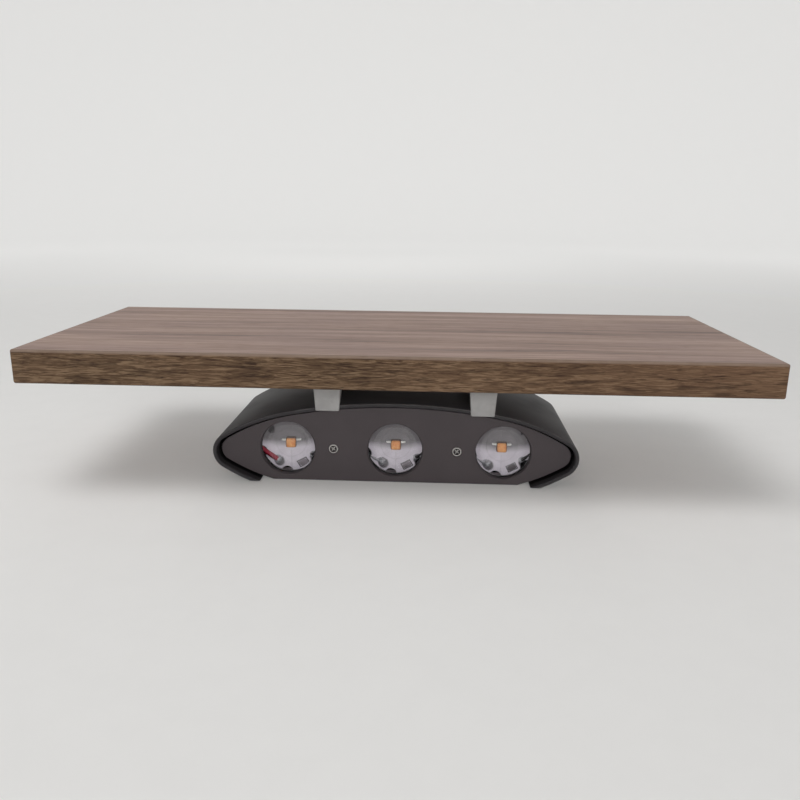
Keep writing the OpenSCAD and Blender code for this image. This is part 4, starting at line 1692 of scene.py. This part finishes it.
@dataclass
class Inside:
    """What is behind the lenses: rails, bracket, driver, terminal block and leads.

    Attributes:
        lead_d: diameter of a lead.
        red_d: diameter of a red lead with its thicker sleeve.
        supply_y: distance of a supply lead from the middle.
        board: the middle lens stack of the lower end, whose pads the leads start from.
    """

    lead_d: float = 1.4
    red_d: float = 2.3
    supply_y: float = 6.0
    board: LensStack = field(default_factory=lambda: LensStack(End.LOWER, Side.MIDDLE))
    DRESS = {
        "lower_led_rail": "rail_aluminium",
        "upper_led_rail": "rail_aluminium",
        "wall_bracket": "bracket_zinc",
        "cable_bushing": "seal_rubber",
        "driver_case": "driver_white",
        "driver_lid": "driver_white",
        "terminal_block": "driver_white",
        "terminal_screws": "clamp_brass",
        "bracket_screws": "screw_steel",
        "clip_screws": "screw_steel",
    }

    def start(self, pad: Pair, x: float) -> tuple[Point, float, float]:
        """The place over a pad of the board at x, and the Y and Z at which leads come in there."""
        right, up = self.board.spot(pad)
        return (x + right, -self.board.lead_y, up), -self.board.lead_y, self.board.z - self.board.entry

    def red_route(self) -> list[Point]:
        """Route of the red lead at the lower end, from the left board to the driver.

        Returns:
            Its points.
        """
        first, y, z = self.start(self.board.left_pad, -self.board.pitch)
        return [
            first, (-67.5, y, z), (-71.5, -24.4, z), (-75, -21.4, z - 1), (-74.5, -17.9, z - 3),
            (-66.5, -15.2, 8), (-50.5, -14.2, 6), (-26, -14.2, 5), (-10, -14.2, 6),
            (0, -12.1, 8), (5, -10, 9.5), (11.5, -10, 9.5),
        ]

    def black_route(self) -> list[Point]:
        """Route of the black lead at the lower end, from the right board to the driver.

        Returns:
            Its points.
        """
        first, y, z = self.start(self.board.right_pad, self.board.pitch)
        return [
            first, (67.5, y, z), (71.5, -24.4, z), (75, -21.4, z - 1), (74.5, -17.9, z - 3),
            (66.5, -15.2, 9), (56.5, -12.1, 9), (49, -10, 9.5), (42.5, -10, 9.5),
        ]

    def jumper_route(self, x: float) -> list[Point]:
        """Route of the jumper's sleeve from a board to the rim of its right neighbour.

        Args:
            x: middle of the board.

        Returns:
            Its points.
        """
        first, y, z = self.start(self.board.right_pad, x)
        beside = x + self.board.pitch
        return [
            first, (x + 16, y, z), ((x + beside) / 2, y, z - 3.5), (beside - 16, y, z),
            (beside - 11.5, y, z - 1.8),
        ]

    def supply_route(self, y: float) -> list[Point]:
        """Route of a supply lead from the terminal block to the driver."""
        return [(-20, y, 7.8), (-10, y, 7.8), (-1, y, 7.5), (8, y, 9.5), (11.5, y, 9.5)]

    def build(self, bench: Bench) -> None:
        """Dresses the hidden nodes and lays the leads.

        Args:
            bench: where pieces are put down.
        """
        for node, look in self.DRESS.items():
            bench.dress(node, look)
        jumpers = [self.jumper_route(-self.board.pitch), self.jumper_route(0)]
        both_ends = {
            "red": ("lead_red", self.red_d, [self.red_route()]),
            "black": ("lead_black", self.lead_d, [self.black_route()]),
            "jumper": ("lead_black", self.lead_d, jumpers),
        }
        for word, (look, thick, routes) in both_ends.items():
            tubes = [tube(route, thick).at(end) for end in End for route in routes]
            bench.lay(f"wire_{word}", Surface.joined(tubes), look, [f"{word}_leads"])
        supply = {"brown": ("live_lead", self.supply_y), "blue": ("neutral_lead", -self.supply_y)}
        for word, (node, y) in supply.items():
            bench.lay(f"wire_{word}", tube(self.supply_route(y), self.lead_d), f"lead_{word}", [node])


@dataclass
class Studio:
    """The pale floor, the lamps and the camera.

    Attributes:
        floor_r: radius of the flat floor in metres.
        sweep_r: radius of the curve up to the wall in metres.
        wall_h: height of the wall in metres.
        drop: how far the floor lies below the lamp, in metres.
        floor_tone: colour of floor and wall.
        fibre_tone: colour of the floor's fibres.
        glow: light of the backdrop as it is seen, far from the lamp.
        glow_near: share of that light close to the lamp.
        turns: points in a full turn of the floor.
        aim: the point in metres that the lamps face.
        air: strength of the surrounding light.
        camera_at: place of the camera in millimetres.
        pitch: how far the camera looks down, in degrees.
        yaw: how far it looks to the right, in degrees.
        roll: how far it is turned about its axis, in degrees.
        focal: focal length in pixels of the image.
        image: width of the image in pixels.
        sensor: width of the camera's sensor in millimetres.
    """

    floor_r: float = 2.2
    sweep_r: float = 0.9
    wall_h: float = 2.2
    drop: float = 0.0002
    floor_tone: Colour = linear(226, 225, 223)
    fibre_tone: Colour = linear(220, 219, 217)
    glow: Colour = (0.50, 0.50, 0.495)
    glow_near: float = 0.2
    turns: int = 96
    aim: Point = (0.0, 0.0, 0.035)
    air: float = 0.30
    camera_at: Point = (18.2, -405.5, 142.8)
    pitch: float = 14.96
    yaw: float = -2.45
    roll: float = 0.60
    focal: float = 767.0
    image: float = 800.0
    sensor: float = 36.0

    def paper(self) -> bpy.types.Material:
        """The floor's finish: pale paper that glows for the camera, for mirrors and for glass.

        Returns:
            The material.
        """
        sheet = NodeSheet("studio_paper")
        fibre = sheet.noise(sheet.place(), 60, 3, 0.6)
        sheet.set("Base Color", sheet.mix(fibre.step(0.3, 0.8) * 0.25, self.floor_tone, self.fibre_tone))
        sheet.set("Roughness", 0.85)
        sheet.set("Specular IOR Level", 0.1)
        rays = ("Is Camera Ray", "Is Glossy Ray", "Is Transmission Ray")
        direct, mirrored, through = (sheet.node("ShaderNodeLightPath", {}, {}, ray) for ray in rays)
        seen = sheet.maths("MAXIMUM", direct, sheet.maths("MAXIMUM", mirrored, through))
        away = sheet.vectors("LENGTH", "Value", sheet.place())
        share = seen * (self.glow_near + away.step(0.30, 1.9) * (1 - self.glow_near))
        sheet.set("Emission Color", sheet.mix(share, (0.0, 0.0, 0.0), self.glow))
        sheet.set("Emission Strength", 1.0)
        return sheet.material

    def floor(self) -> None:
        """The floor: a flat disc that curves up to a round wall, as a profile turned about Z."""
        curve = np.radians(np.linspace(0, 90, 16))[1:]
        flat = np.linspace(0.02, self.floor_r, 24)
        edge = self.floor_r + self.sweep_r
        radius = np.concatenate([flat, self.floor_r + self.sweep_r * np.sin(curve), [edge]])[:, None]
        rise = self.sweep_r * (1 - np.cos(curve))
        height = np.concatenate([np.zeros(len(flat)), rise, [self.wall_h]])[:, None]
        angle = full_turn(self.turns)
        points = stacked(radius * np.cos(angle), radius * np.sin(angle), height - self.drop)
        faces = grid_faces(len(radius), self.turns) + [list(range(self.turns))]
        mesh = bpy.data.meshes.new("studio_floor")
        mesh.from_pydata(points.reshape(-1, 3).tolist(), [], faces)
        mesh.shade_smooth()
        mesh.materials.append(self.paper())
        floor = bpy.data.objects.new("studio_floor", mesh)
        bpy.context.scene.collection.objects.link(floor)

    def light(self, name: str, at: Point, size: Pair, power: float, spread: float) -> None:
        """A soft lamp that faces the object.

        Args:
            name: its name.
            at: its place in metres.
            size: its width and height in metres.
            power: its power in watts.
            spread: width of its beam in degrees; a lamp with a beam isn't mirrored in glossy surfaces.
        """
        lamp = bpy.data.lights.new(name, "AREA")
        lamp.shape = "RECTANGLE"
        lamp.size, lamp.size_y = size
        lamp.energy = power
        lamp.spread = math.radians(spread)
        body = bpy.data.objects.new(name, lamp)
        body.location = at
        body.rotation_euler = (Vector(self.aim) - Vector(at)).to_track_quat("-Z", "Y").to_euler()
        body.visible_glossy = spread >= 180
        body.visible_transmission = spread >= 180
        bpy.context.scene.collection.objects.link(body)

    def world(self) -> None:
        """An even pale surrounding light."""
        world = bpy.data.worlds.new("studio_air")
        world.use_nodes = True
        ground = world.node_tree.nodes["Background"]
        ground.inputs["Color"].default_value = (1.0, 1.0, 1.0, 1.0)
        ground.inputs["Strength"].default_value = self.air
        bpy.context.scene.world = world

    def camera(self) -> None:
        """The camera at the photograph's viewing angle."""
        pitch, yaw, roll = (math.radians(a) for a in (self.pitch, self.yaw, self.roll))
        forward = Vector((math.sin(yaw) * math.cos(pitch), math.cos(yaw) * math.cos(pitch), -math.sin(pitch)))
        level = Vector((math.cos(yaw), -math.sin(yaw), 0))
        above = level.cross(forward)
        right = level * math.cos(roll) + above * math.sin(roll)
        upward = above * math.cos(roll) - level * math.sin(roll)
        lens = bpy.data.cameras.new("photo_camera")
        lens.sensor_fit = "HORIZONTAL"
        lens.sensor_width = self.sensor
        lens.lens = self.sensor * self.focal / self.image
        lens.clip_start = 0.01
        body = bpy.data.objects.new("photo_camera", lens)
        turn = Matrix((right, upward, -forward)).transposed().to_4x4()
        body.matrix_world = Matrix.Translation(Vector(self.camera_at) * MM) @ turn
        bpy.context.scene.collection.objects.link(body)
        bpy.context.scene.camera = body

    def build(self) -> None:
        """Sets up the stage."""
        self.floor()
        self.light("key_lamp", (-0.35, -0.45, 1.35), (1.0, 0.8), 9.0, 180)
        self.light("front_lamp", (0.20, -1.90, 0.62), (0.9, 0.5), 2.3, 70)
        self.light("rear_lamp", (-0.20, 1.90, 0.62), (0.9, 0.5), 1.4, 70)
        self.world()
        self.camera()
        bpy.context.scene.view_settings.view_transform = "Standard"


def main() -> None:
    """Builds the sub-assemblies in order."""
    logging.basicConfig(level=logging.INFO, format="%(name)s: %(message)s")
    Studio().build()
    bench = Bench()
    Panel().build(bench)
    Shell().build(bench)
    for end in End:
        for side in Side:
            LensStack(end, side).build(bench)
        for sign in (-1, 1):
            Clip(end, sign).build(bench)
    Inside().build(bench)


if __name__ == "__main__":
    main()
